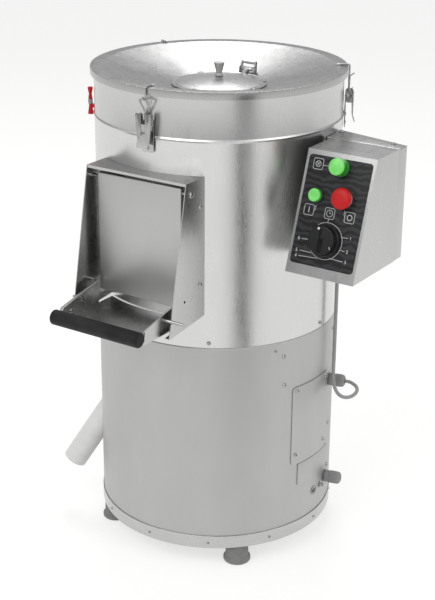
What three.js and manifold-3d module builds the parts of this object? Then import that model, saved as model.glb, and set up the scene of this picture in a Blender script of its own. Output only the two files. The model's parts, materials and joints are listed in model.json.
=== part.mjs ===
// Drum vegetable peeler: round steel drum on rubber feet, funnel hopper with a hinged feed lid,
// three toggle latches, a discharge hatch with a door and a swing-up tray, a tilted control box,
// a belt-driven abrasive disc inside, a drain pipe and a connecting cable.
// Millimetres, +Z up. The hatch faces -Y. Built about the drum's axis with the floor at z = 0;
// the last lines move the origin to the centre of the underside of the whole machine's box.

import * as THREE from 'three';
import { mergeVertices } from 'three/addons/utils/BufferGeometryUtils.js';
import Module from 'manifold-3d';

const wasm = await Module();
wasm.setup();

// ---- driving dimensions ----------------------------------------------------------------------

const SHEET = 1.2;             // sheet steel of the shells, hopper, lid, door and tray
const PLATE = 1.5;             // sheet steel of the hatch housing and the control box
const GAP = 0.3;               // between pieces that touch
const RUN = 0.4;               // radial running clearance of pins in holes

const DRUM_R = 210;            // outside of both shells
const FOOT_H = 35;
const PAN_T = 2;
const BAND_H = 24;             // rolled band of the base pan
const SEAM_Z = 415;            // joint between lower and upper shell
const UPPER_H = 424;           // upper shell
const BEAD_DROP = 74;          // swaged bead below the top of the upper shell
const BEAD_OUT = 1.8;

const RIM_OUT = 6;             // hopper rim beyond the shell
const RIM_W = 20;              // flat of the rim
const LIP_H = 11.5;            // turned-down edge of the rim
const HOPPER_FALL = 32.6;      // rim down to the throat
const COLLAR_R = 75;           // throat collar
const COLLAR_H = 23;
const LID_LAP = 6;             // lid beyond the collar it covers
const LID_CLEAR = 3;           // throat ledge beyond the lid
const LID_RING_W = 7;
const LID_RISE = 9;
const GASKET_T = 2.8;

const MOUTH_W = 160;           // discharge collar, outside
const MOUTH_LOW = 86;          // heights above the seam
const MOUTH_DROP = 85;         // top of the collar below the bead
const DOOR_LAP = 2.5;          // door beyond the collar at each side
const DOOR_OVER = 17;          // door above the collar
const TRAY_CLEAR = 2.5;        // tray beyond the door at each side
const HATCH_CLEAR = 13;        // housing beyond the tray at each side
const HATCH_OVER = 11.4;       // housing above the door
const HATCH_BACK_Z = 58.1;     // housing's lower edge above the seam, at the drum and in front
const HATCH_FRONT_Z = 48.9;
const HATCH_TOP_OUT = 27;      // housing depths beyond the drum's surface
const HATCH_LOW_OUT = 73.9;
const HATCH_BROW = 4.5;        // turned-down front edge of the housing's roof
const DOOR_UNDER = 6;          // door below the collar
const DOOR_OUT = 19.2;         // front face of the door beyond the drum
const DOOR_FOLD = 11;
const DOOR_PIN_OUT = 14.3;
const DOOR_PIN_DROP = 8.3;     // hinge pin below the door's top edge
const DOOR_PIN_R = 3;
const TRAY_FLOOR = 54.3;       // underside of the tray's floor above the seam
const TRAY_OUT = 122;          // front plate of the tray beyond the drum
const TRAY_WALL_BACK = 22;     // back end of the side walls beyond the drum
const TRAY_WALL_HIGH = 98;     // wall tops above the seam, back and front
const TRAY_WALL_LOW = 78;
const TRAY_PIVOT_OUT = 66;
const TRAY_PIVOT_Z = 77;
const TRAY_PIN_R = 2.5;
const GRIP_R = 12.5;
const GRIP_OUT = 135;
const GRIP_Z = 67;

const BOX_W = 122;             // control box
const BOX_OFF = 10;            // its near side from the drum
const BOX_DROP = 89;           // its top below the drum's top
const BOX_H = 188;
const BOX_FRONT_TOP = 74;      // front edges ahead of the seam of the rear cover
const BOX_FRONT_LOW = 138;
const COVER_NEAR = 53;         // depth of the rear cover at the drum and at the far side
const COVER_FAR = 27;
const LABEL_SIDE = 5;          // margins of the label on the sloping panel
const LABEL_TOP = 8;
const LABEL_FOOT = 17.1;
const LABEL_T = 0.8;
const LAMP_R = 13.5;
const START_R = 10.3;
const STOP_R = 17;
const KNOB_R = 26.5;
const PANEL_HOLE_R = 11;
const LAMP_AT = [3, -22];      // across and along the sloping panel from its top edge
const START_AT = [-31, -71];
const STOP_AT = [19, -69];
const KNOB_AT = [0, -138.5];

const LATCH_AZ = [2, 122, -118];
const INTERLOCK_AZ = -56;
const COVER_AZ = 86;
const SUPPLY_COVER_AZ = 89.5;
const GLAND_AZ = 105.5;
const SUPPLY_GLAND_AZ = 103.5;
const DRAIN_AZ = -60;
const MOTOR_AZ = 120;

const FLOOR_UP = 20;           // chamber floor above the seam
const FLOOR_T = 2;
const DISC_CLEAR = 5.3;        // between the disc and the lining
const DISC_UP = 72;            // top of the disc above the seam
const DISC_T = 14;
const LINING_T = 6;
const SHAFT_R = 12.5;
const BEARING_R = 26;
const BEARING_W = 15;
const HOUSING_LEN = 96;
const DRIVEN_R = 98;
const DRIVER_R = 34;
const PULLEY_W = 22;
const GROOVE = 10;             // depth of the belt grooves
const BELT_W = 10;
const BELT_T = 6.6;
const PULLEY_DROP = 125;       // pulleys' top below the chamber floor
const MOTOR_R = 62;
const MOTOR_H = 150;
const PULLEY_SPACE = 8;        // between the two pulleys' rims
const DRAIN_R = 22;
const DRAIN_BORE = 19;
const DRAIN_SPACE = 18;        // between the driven pulley's rim and the pipe
const DRAIN_EXIT = 235;        // crossing of the shell below the seam
const DRAIN_SLOPE = 58;        // degrees below the horizontal
const DRAIN_PAST = 106;        // run of the pipe beyond the shell's surface, along its axis

// ---- worked-out sizes ------------------------------------------------------------------------

const DRUM_SIDES = 48;
const ROUND = 18;
const SMALL = 10;

const DRUM_IN = DRUM_R - SHEET;
const LINING_OUT = DRUM_IN - GAP - 0.2;
const DISC_R = LINING_OUT - LINING_T - DISC_CLEAR;
const MOTOR_OFF = DRIVEN_R + DRIVER_R + PULLEY_SPACE;
const DRAIN_OFF = DRIVEN_R + DRAIN_R + DRAIN_SPACE;
const BAND_R = DRUM_R + GAP + SHEET;
const DRUM_TOP = SEAM_Z + UPPER_H;
const BEAD_Z = DRUM_TOP - BEAD_DROP;
const LID_R = COLLAR_R + LID_LAP;
const THROAT_R = LID_R + LID_CLEAR;
const RIM_R = DRUM_R + RIM_OUT;
const RIM_IN = RIM_R - RIM_W;
const RIM_TOP = DRUM_TOP + GASKET_T + 2 * GAP + SHEET;
const THROAT_Z = RIM_TOP - HOPPER_FALL;
const CONE_SLOPE = HOPPER_FALL / (RIM_IN - THROAT_R);
const FLOOR_Z = SEAM_Z + FLOOR_UP;
const DISC_TOP = SEAM_Z + DISC_UP;
const MOUTH_HIGH = UPPER_H - BEAD_DROP - MOUTH_DROP;
const DOOR_W = MOUTH_W + 2 * DOOR_LAP;
const DOOR_LOW = MOUTH_LOW - DOOR_UNDER;
const DOOR_HIGH = MOUTH_HIGH + DOOR_OVER;
const DOOR_PIN_Z = DOOR_HIGH - DOOR_PIN_DROP;
const TRAY_W = DOOR_W + 2 * TRAY_CLEAR;
const HATCH_W = TRAY_W + 2 * HATCH_CLEAR;
const HATCH_TOP = DOOR_HIGH + HATCH_OVER;
const BOX_TOP = UPPER_H - BOX_DROP;
const BOX_LOW = BOX_TOP - BOX_H;
const LABEL_W = BOX_W - 2 * LABEL_SIDE;
const LABEL_LEN = Math.hypot(BOX_H, BOX_FRONT_LOW - BOX_FRONT_TOP) - LABEL_TOP - LABEL_FOOT;

const coneTop = (r) => THROAT_Z + Math.max(0, r - THROAT_R) * CONE_SLOPE;
const rad = THREE.MathUtils.degToRad;

// ---- materials -------------------------------------------------------------------------------

const finish = (color, roughness, metalness) =>
  new THREE.MeshStandardMaterial({ color, roughness, metalness });

const SATIN = finish(0xcfcfcd, 0.32, 1);
const MATT_STEEL = finish(0xc4c3c0, 0.5, 1);
const BRIGHT = finish(0xd8d8d6, 0.15, 1);
const CAST = finish(0x8b8d90, 0.6, 0.8);
const ZINC = finish(0xa9acb0, 0.45, 0.9);
const RUBBER = finish(0x55565a, 0.9, 0);
const BLACK_RUBBER = finish(0x1a1a1b, 0.75, 0);
const BLACK_PLASTIC = finish(0x161617, 0.45, 0);
const GREY_PLASTIC = finish(0x8f9193, 0.55, 0);
const WHITE_PLASTIC = finish(0xe9e8e3, 0.5, 0);
const GREEN = finish(0x8ae480, 0.35, 0);
const RED = finish(0xc82323, 0.4, 0);
const LABEL_BLACK = finish(0x2e2f31, 0.55, 0);
const GRIT = finish(0x4b4a46, 0.95, 0);

// ---- solids ----------------------------------------------------------------------------------

function solid(geometry) {
  const bare = geometry.clone();
  for (const key of Object.keys(bare.attributes)) {
    if (key !== 'position') bare.deleteAttribute(key);
  }
  const merged = mergeVertices(bare, 1e-4);
  const index = merged.index.array;
  const triVerts = [];
  for (let i = 0; i < index.length; i += 3) {
    const [a, b, c] = [index[i], index[i + 1], index[i + 2]];
    if (a !== b && b !== c && c !== a) triVerts.push(a, b, c);
  }
  const mesh = new wasm.Mesh({
    numProp: 3,
    vertProperties: Float32Array.from(merged.attributes.position.array),
    triVerts: Uint32Array.from(triVerts),
  });
  return new wasm.Manifold(mesh);
}

function surface(body) {
  const { vertProperties, triVerts } = body.getMesh();
  const geometry = new THREE.BufferGeometry();
  geometry.setAttribute('position', new THREE.BufferAttribute(vertProperties, 3));
  geometry.setIndex(new THREE.BufferAttribute(triVerts, 1));
  return geometry;
}

const union = (first, ...rest) => rest.reduce((sum, piece) => sum.add(piece), first);
const cut = (first, ...rest) => rest.reduce((left, piece) => left.subtract(piece), first);

// an outline extruded along an axis: (y, z) along x, (x, z) along y, (x, y) along z
function prism(points, axis, from, to) {
  const outline = new THREE.Shape(points.map(([a, b]) => new THREE.Vector2(a, b)));
  return extruded(outline, axis, from, to);
}

function extruded(outline, axis, from, to, curveSegments = 6) {
  const geometry = new THREE.ExtrudeGeometry(outline, {
    depth: to - from, bevelEnabled: false, curveSegments,
  });
  const place = new THREE.Matrix4();
  if (axis === 'x') place.set(0, 0, 1, from, 1, 0, 0, 0, 0, 1, 0, 0, 0, 0, 0, 1);
  if (axis === 'y') place.set(1, 0, 0, 0, 0, 0, -1, to, 0, 1, 0, 0, 0, 0, 0, 1);
  if (axis === 'z') place.makeTranslation(0, 0, from);
  return solid(geometry.applyMatrix4(place));
}

function block(x0, x1, y0, y1, z0, z1) {
  const geometry = new THREE.BoxGeometry(x1 - x0, y1 - y0, z1 - z0);
  return solid(geometry.translate((x0 + x1) / 2, (y0 + y1) / 2, (z0 + z1) / 2));
}

// a closed (radius, height) profile turned about the z axis
function turned(profile, sides) {
  const points = profile.map(([r, z]) => new THREE.Vector2(r, z));
  const onAxis = profile[0][0] === 0 && profile[profile.length - 1][0] === 0;
  if (!onAxis) points.push(points[0].clone());
  return solid(new THREE.LatheGeometry(points, sides).rotateX(Math.PI / 2));
}

// LatheGeometry faces outwards when the profile runs from the lower end up the outside
const rod = (r, z0, z1, sides = ROUND, x = 0, y = 0) =>
  turned([[0, z0], [r, z0], [r, z1], [0, z1]], sides).translate([x, y, 0]);

const ring = (rIn, rOut, z0, z1, sides = ROUND) =>
  turned([[rIn, z0], [rOut, z0], [rOut, z1], [rIn, z1]], sides);

// a turned body laid along x or y, with its z = 0 at the given point
const alongX = (body, x, y, z) => body.rotate([0, 90, 0]).translate([x, y, z]);

function roundedRectangle(w, h, r) {
  const shape = new THREE.Shape();
  shape.moveTo(-w / 2 + r, -h / 2);
  shape.lineTo(w / 2 - r, -h / 2);
  shape.absarc(w / 2 - r, -h / 2 + r, r, -Math.PI / 2, 0);
  shape.lineTo(w / 2, h / 2 - r);
  shape.absarc(w / 2 - r, h / 2 - r, r, 0, Math.PI / 2);
  shape.lineTo(-w / 2 + r, h / 2);
  shape.absarc(-w / 2 + r, h / 2 - r, r, Math.PI / 2, Math.PI);
  shape.lineTo(-w / 2, -h / 2 + r);
  shape.absarc(-w / 2 + r, -h / 2 + r, r, Math.PI, 1.5 * Math.PI);
  return shape;
}

// ---- scene graph -----------------------------------------------------------------------------

const machine = new THREE.Group();

function part(name, body, material, parent = machine) {
  const mesh = new THREE.Mesh(surface(body), material);
  mesh.name = name;
  parent.add(mesh);
  return mesh;
}

// a group whose +x points away from the drum's axis at an azimuth counted from -y towards +x
function atAzimuth(degrees) {
  const group = new THREE.Group();
  group.rotation.z = rad(degrees - 90);
  machine.add(group);
  return group;
}

const turnedTo = (body, azimuth) => body.rotate([0, 0, azimuth - 90]);

// ---- base ------------------------------------------------------------------------------------

function base() {
  const panTop = FOOT_H + PAN_T;
  part('base_pan', turned([
    [0, FOOT_H], [BAND_R - 2, FOOT_H], [BAND_R, FOOT_H + 2], [BAND_R, FOOT_H + BAND_H],
    [BAND_R - SHEET, FOOT_H + BAND_H], [BAND_R - SHEET, panTop], [0, panTop],
  ], DRUM_SIDES), SATIN);
  const footAt = DRUM_R - 20;
  const corners = { front_right: 45, back_right: 135, back_left: -135, front_left: -45 };
  for (const [place, azimuth] of Object.entries(corners)) {
    const foot = turned([
      [0, 0], [22.5, 0], [24, 2], [24, 7], [20.5, 10], [19.5, FOOT_H - GAP], [0, FOOT_H - GAP],
    ], ROUND);
    part(`foot_${place}`, turnedTo(foot.translate([footAt, 0, 0]), azimuth), RUBBER);
  }
}

// ---- shells ----------------------------------------------------------------------------------

// a plate that follows the drum, rounded at its corners
function curvedPlate(azimuth, width, z0, z1, corner, inner, outer) {
  const outline = roundedRectangle(width, z1 - z0, corner);
  const cutter = extruded(outline, 'x', 0, outer + 10).translate([0, 0, (z0 + z1) / 2]);
  return ring(inner, outer, z0, z1, DRUM_SIDES).intersect(turnedTo(cutter, azimuth));
}

const radialHole = (r, azimuth, z) =>
  turnedTo(alongX(rod(r, DRUM_R - 30, DRUM_R + 30), 0, 0, z), azimuth);

const COVER_LOW = SEAM_Z - 241;
const COVER_HIGH = SEAM_Z - 92;
const COVER_W = 106;
const SUPPLY_LOW = SEAM_Z - 285;
const SUPPLY_HIGH = COVER_LOW - 1;
const SUPPLY_W = 98;
const COVER_EDGE = 14;
const GLAND_Z = SEAM_Z - 120;
const SUPPLY_GLAND_Z = SEAM_Z - 310;
const GLAND_THREAD_R = 9;

function lowerShell() {
  const bottom = FOOT_H + PAN_T + GAP;
  const wall = ring(DRUM_IN, DRUM_R, bottom, SEAM_Z - GAP, DRUM_SIDES);
  const opening = curvedPlate(COVER_AZ, COVER_W - 2 * COVER_EDGE, COVER_LOW + COVER_EDGE,
    COVER_HIGH - COVER_EDGE, 6, DRUM_IN - 5, DRUM_R + 5);
  const supplyOpening = curvedPlate(SUPPLY_COVER_AZ, SUPPLY_W - 2 * COVER_EDGE,
    SUPPLY_LOW + COVER_EDGE / 2, SUPPLY_HIGH - COVER_EDGE, 4, DRUM_IN - 5, DRUM_R + 5);
  part('lower_shell', cut(wall, opening, supplyOpening,
    radialHole(GLAND_THREAD_R + RUN, GLAND_AZ, GLAND_Z),
    radialHole(GLAND_THREAD_R + RUN, SUPPLY_GLAND_AZ, SUPPLY_GLAND_Z), drainCutter()), MATT_STEEL);
  const inner = DRUM_R + GAP + 0.1;
  part('service_cover', curvedPlate(COVER_AZ, COVER_W, COVER_LOW, COVER_HIGH, 8,
    inner, inner + SHEET), MATT_STEEL);
  part('supply_cover', curvedPlate(SUPPLY_COVER_AZ, SUPPLY_W, SUPPLY_LOW, SUPPLY_HIGH, 3,
    inner, inner + SHEET), MATT_STEEL);
}

function upperShell() {
  const wall = turned([
    [DRUM_IN, SEAM_Z], [DRUM_R, SEAM_Z], [DRUM_R, BEAD_Z - 3], [DRUM_R + BEAD_OUT, BEAD_Z],
    [DRUM_R, BEAD_Z + 3], [DRUM_R, DRUM_TOP], [DRUM_IN, DRUM_TOP], [DRUM_IN, BEAD_Z + 3],
    [DRUM_IN + BEAD_OUT, BEAD_Z], [DRUM_IN, BEAD_Z - 3],
  ], DRUM_SIDES);
  const [low, high] = [SEAM_Z + MOUTH_LOW, SEAM_Z + MOUTH_HIGH];
  const half = MOUTH_W / 2;
  const front = -(DRUM_R + DOOR_OUT - SHEET - RUN);
  const mouth = block(PLATE - half, half - PLATE, front - 5, -100, low + PLATE, high - PLATE);
  const collar = cut(block(-half, half, front, -100, low, high),
    rod(DRUM_R - SHEET / 2, low - 5, high + 5, DRUM_SIDES));
  part('upper_shell', cut(union(wall, collar), mouth), SATIN);
}

// ---- chamber and drive -----------------------------------------------------------------------

function chamber() {
  const rimLow = SEAM_Z + 6;
  const edge = LINING_OUT;
  const floor = turned([
    [SHAFT_R + 6, FLOOR_Z], [edge - SHEET, FLOOR_Z], [edge - SHEET, rimLow], [edge, rimLow],
    [edge, FLOOR_Z + FLOOR_T], [SHAFT_R + 6, FLOOR_Z + FLOOR_T],
  ], DRUM_SIDES);
  const drainHole = turnedTo(
    rod(DRAIN_BORE, FLOOR_Z - 5, FLOOR_Z + 10, 16, DRAIN_OFF, 0), DRAIN_AZ);
  part('chamber_floor', cut(floor, drainHole), SATIN);

  const lining = ring(LINING_OUT - LINING_T, LINING_OUT, FLOOR_Z + FLOOR_T + 6, BEAD_Z - 6,
    DRUM_SIDES);
  const window = block(-MOUTH_W / 2, MOUTH_W / 2, -DRUM_R, -100,
    SEAM_Z + MOUTH_LOW - 1, SEAM_Z + MOUTH_HIGH + 1);
  part('wall_lining', cut(lining, window), GRIT);

  const discLow = DISC_TOP - DISC_T;
  const bore = SHAFT_R + GAP;
  let disc = turned([
    [bore, discLow - 16], [bore + 14, discLow - 16], [bore + 18, discLow], [DISC_R - 8, discLow],
    [DISC_R, discLow + 5], [DISC_R, DISC_TOP + 4], [DISC_R - 14, DISC_TOP],
    [40, DISC_TOP - 3], [26, DISC_TOP + 1], [bore, DISC_TOP + 1],
  ], DRUM_SIDES);
  for (const turn of [0, 120, 240]) {
    const ridge = prism([[48, DISC_TOP - 5], [176, DISC_TOP - 4], [170, DISC_TOP + 8],
      [60, DISC_TOP + 5]], 'y', -9, 9);
    disc = disc.add(ridge.rotate([0, 0, turn]));
  }
  part('abrasive_disc', disc, GRIT);
  const shaftTop = DISC_TOP + 22;
  part('disc_nut', turned([
    [SHAFT_R - 2 + GAP, DISC_TOP + 1 + GAP], [22, DISC_TOP + 1 + GAP], [22, DISC_TOP + 10],
    [15, DISC_TOP + 20], [SHAFT_R - 2 + GAP, DISC_TOP + 20],
  ], ROUND), SATIN);

  const pulleyTop = FLOOR_Z - PULLEY_DROP;
  const shaftLow = pulleyTop - PULLEY_W - 12;
  part('drive_shaft', turned([
    [0, shaftLow], [SHAFT_R, shaftLow], [SHAFT_R, DISC_TOP + 1], [SHAFT_R - 2, DISC_TOP + 1],
    [SHAFT_R - 2, shaftTop], [0, shaftTop],
  ], ROUND), ZINC);

  const flangeTop = FLOOR_Z - GAP;
  const housingLow = flangeTop - HOUSING_LEN;
  const seat = BEARING_R + GAP;
  part('bearing_housing', turned([
    [seat, housingLow], [seat + 7, housingLow], [seat + 9, flangeTop - 9], [62, flangeTop - 8],
    [62, flangeTop], [SHAFT_R + 2, flangeTop], [SHAFT_R + 2, flangeTop - 10],
    [seat, flangeTop - 10],
  ], ROUND), CAST);
  const bearing = (low) => turned([
    [SHAFT_R + GAP, low], [BEARING_R, low], [BEARING_R, low + BEARING_W],
    [SHAFT_R + GAP, low + BEARING_W],
  ], ROUND);
  part('upper_bearing', bearing(flangeTop - 11 - BEARING_W), BRIGHT);
  part('lower_bearing', bearing(housingLow + 3), BRIGHT);

  const groove = (r, bore, z) => turned([
    [bore, z], [r, z], [r, z + 3], [r - GROOVE, z + 5.6], [r - GROOVE, z + PULLEY_W - 5.6],
    [r, z + PULLEY_W - 3], [r, z + PULLEY_W], [bore, z + PULLEY_W],
  ], ROUND);
  const pulleyLow = pulleyTop - PULLEY_W;
  const motorShaftR = 9.5;
  part('driven_pulley', groove(DRIVEN_R, SHAFT_R + GAP, pulleyLow), CAST);
  const motorGroup = atAzimuth(MOTOR_AZ);
  part('motor_pulley', groove(DRIVER_R, motorShaftR + GAP, pulleyLow)
    .translate([MOTOR_OFF, 0, 0]), CAST, motorGroup);

  const beltZ = pulleyLow + PULLEY_W / 2;
  const belt = (spare) => {
    const big = DRIVEN_R - GROOVE + spare;
    const small = DRIVER_R - GROOVE + spare;
    const lean = Math.acos((big - small) / MOTOR_OFF);
    const loop = new THREE.Shape();
    loop.absarc(0, 0, big, lean, 2 * Math.PI - lean);
    loop.absarc(MOTOR_OFF, 0, small, -lean, lean);
    return extruded(loop, 'z', beltZ - BELT_W / 2, beltZ + BELT_W / 2, 12);
  };
  part('drive_belt', cut(belt(1 + BELT_T), belt(1)), BLACK_RUBBER, motorGroup);

  const motorTop = pulleyLow - 18;
  part('motor_shaft', rod(motorShaftR, motorTop - 30, pulleyTop + 6, 16, MOTOR_OFF, 0), ZINC,
    motorGroup);
  const motorLow = motorTop - MOTOR_H;
  const motor = turned([
    [0, motorLow], [MOTOR_R - 18, motorLow], [MOTOR_R - 4, motorLow + 12],
    [MOTOR_R - 4, motorLow + 40], [MOTOR_R, motorLow + 40], [MOTOR_R, motorTop],
    [motorShaftR + 3, motorTop], [motorShaftR + 3, motorTop - 34], [0, motorTop - 34],
  ], ROUND).translate([MOTOR_OFF, 0, 0]);
  const terminals = block(MOTOR_OFF - MOTOR_R - 16, MOTOR_OFF - MOTOR_R + 8, -28, 28,
    motorTop - 90, motorTop - 30);
  part('motor', union(motor, terminals), CAST, motorGroup);
  const plateLow = motorTop + GAP;
  const postOut = MOTOR_R + 24;
  const plateHalf = postOut + 10;
  const motorPlate = cut(block(MOTOR_OFF - 45, DRUM_IN, -plateHalf, plateHalf, plateLow,
    plateLow + 4)
    .intersect(rod(DRUM_IN - 5, plateLow - 5, plateLow + 9, DRUM_SIDES)),
  rod(22, plateLow - 5, plateLow + 9, ROUND, MOTOR_OFF, 0));
  const posts = [[0, postOut], [0, -postOut], [46, 40], [46, -40]]
    .map(([x, y]) => rod(6, plateLow + 2, FLOOR_Z - GAP, SMALL, MOTOR_OFF + x, y));
  part('motor_plate', union(motorPlate, ...posts), ZINC, motorGroup);
}

// ---- drain -----------------------------------------------------------------------------------

const DRAIN_ELBOW_Z = SEAM_Z - DRAIN_EXIT + (DRUM_R - DRAIN_OFF) * Math.tan(rad(DRAIN_SLOPE));
const drainDown = [Math.cos(rad(DRAIN_SLOPE)), -Math.sin(rad(DRAIN_SLOPE))];

function drainCutter() {
  const across = rod(DRAIN_R + 1, -60, 60, ROUND).rotate([0, 90 + DRAIN_SLOPE, 0]);
  return turnedTo(across.translate([DRUM_R, 0, SEAM_Z - DRAIN_EXIT]), DRAIN_AZ);
}

function drain() {
  const bend = 30;
  const top = new THREE.Vector3(DRAIN_OFF, 0, FLOOR_Z - GAP);
  const elbow = new THREE.Vector3(DRAIN_OFF, 0, DRAIN_ELBOW_Z);
  const along = new THREE.Vector3(drainDown[0], 0, drainDown[1]);
  const exit = new THREE.Vector3(DRUM_R, 0, SEAM_Z - DRAIN_EXIT);
  const route = new THREE.CurvePath();
  const before = elbow.clone().add(new THREE.Vector3(0, 0, bend));
  const after = elbow.clone().addScaledVector(along, bend);
  route.add(new THREE.LineCurve3(top, before));
  route.add(new THREE.QuadraticBezierCurve3(before, elbow, after));
  route.add(new THREE.LineCurve3(after, exit.addScaledVector(along, DRAIN_PAST)));
  const section = new THREE.Shape().absarc(0, 0, DRAIN_R, 0, 2 * Math.PI);
  section.holes.push(new THREE.Path().absarc(0, 0, DRAIN_BORE, 0, 2 * Math.PI, true));
  const pipe = new THREE.ExtrudeGeometry(section, {
    steps: 12, curveSegments: 7, extrudePath: route,
  });
  part('drain_pipe', solid(pipe), WHITE_PLASTIC, atAzimuth(DRAIN_AZ));
}

// ---- hopper and feed lid ---------------------------------------------------------------------

const LID_SEAT = 0.4;
const LID_EDGE_T = 2.6;
const HINGE_OUT = 4.5;         // lid hinge beyond the throat's edge, and above it
const HINGE_UP = 9;
const HINGE_PIN_R = 2.5;
const STOP_BAR_R = 2.6;        // the bar that the open lid leans on
const STOP_BAR_OUT = 4.6;      // from the hinge pin
const STOP_BAR_UP = 9.8;

function hopper() {
  const underside = RIM_TOP - SHEET;
  const throatLow = THROAT_Z - COLLAR_H;
  const lipLow = RIM_TOP - LIP_H;
  part('hopper', turned([
    [RIM_R - SHEET, lipLow], [RIM_R, lipLow], [RIM_R, RIM_TOP - 1], [RIM_R - 1, RIM_TOP],
    [RIM_IN, RIM_TOP], [THROAT_R, THROAT_Z], [COLLAR_R - SHEET, THROAT_Z],
    [COLLAR_R - SHEET, throatLow], [COLLAR_R, throatLow], [COLLAR_R, THROAT_Z - SHEET],
    [THROAT_R, THROAT_Z - SHEET], [RIM_IN, underside], [RIM_R - SHEET, underside],
  ], DRUM_SIDES), SATIN);
  part('hopper_gasket', ring(DRUM_R - 5, DRUM_R + 2, DRUM_TOP + GAP, DRUM_TOP + GAP + GASKET_T,
    DRUM_SIDES), BLACK_RUBBER);

  const hingeY = THROAT_R + HINGE_OUT;
  const hingeZ = THROAT_Z + HINGE_UP;
  const low = THROAT_Z + LID_SEAT;
  const high = low + LID_EDGE_T;
  const domeR = LID_R - LID_RING_W;
  const dome = (r, drop) => [r, high + LID_RISE * (1 - (r / domeR) ** 2) - drop];
  const rings = [0, 0.3, 0.6, 0.82].map((share) => share * domeR);
  const lid = turned([
    ...rings.map((r) => dome(r, SHEET)), [domeR, low], [LID_R, low], [LID_R, high],
    [domeR, high], ...rings.reverse().map((r) => dome(r, 0)),
  ], 30);
  const barrelR = 4.2;
  const lug = union(
    prism([[domeR, low + 0.3], [LID_R, low + 0.3], [hingeY - 1, hingeZ - barrelR],
      [hingeY, hingeZ], [hingeY - 3, hingeZ + 2.6], [domeR, high + 0.4]], 'x', -4, 4),
    alongX(rod(barrelR, -10, 10, SMALL), 0, hingeY, hingeZ));
  const pinHole = alongX(rod(HINGE_PIN_R + RUN, -12, 12, SMALL), 0, hingeY, hingeZ);
  part('feed_lid', cut(union(lid, lug), pinHole), SATIN);
  const knobLow = dome(0, 0)[1] + GAP;
  part('lid_knob', turned([
    [0, knobLow], [7, knobLow + 0.4], [6.6, knobLow + 3.4], [4.6, knobLow + 4.4],
    [9.3, knobLow + 23], [0, knobLow + 23.6],
  ], ROUND), MATT_STEEL);

  const earIn = 13;
  const earOut = 15;
  const rest = (y) => coneTop(Math.hypot(y, earOut)) + LID_SEAT;
  const [barY, barZ] = [hingeY + STOP_BAR_OUT, hingeZ + STOP_BAR_UP];
  const [front, back] = [hingeY - 4.5, barY + STOP_BAR_R];
  const ear = [[front, rest(front)], [back, rest(back)], [back, hingeZ + 13],
    [barY - STOP_BAR_R, hingeZ + 13], [hingeY, hingeZ + 5], [front, hingeZ + 2]];
  const foot = [[front, rest(front)], [back, rest(back)], [back, rest(back) + 1.5],
    [front, rest(front) + 1.5]];
  const stopBar = alongX(rod(STOP_BAR_R, -earOut, earOut, SMALL), 0, barY, barZ);
  const hinge = union(prism(ear, 'x', earIn, earOut), prism(ear, 'x', -earOut, -earIn),
    prism(foot, 'x', -earOut, earOut), stopBar);
  part('lid_hinge_bracket', cut(hinge,
    alongX(rod(HINGE_PIN_R + GAP, -20, 20, SMALL), 0, hingeY, hingeZ)), BRIGHT);
  part('lid_hinge_pin', alongX(rod(HINGE_PIN_R, -earOut - 1.5, earOut + 1.5, SMALL),
    0, hingeY, hingeZ), BRIGHT);
}

// ---- toggle latches --------------------------------------------------------------------------

const LATCH_PIVOT_OUT = 8.3;   // lever pivot beyond the drum, and below the rim's top
const LATCH_PIVOT_DROP = 44.6;
const LATCH_THROW = 12;        // lever pivot down to the bail's pin
const LATCH_PIN_R = 1.6;
const BAIL_BAR_DROP = 20;      // bail's cross bar below the rim's top

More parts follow.
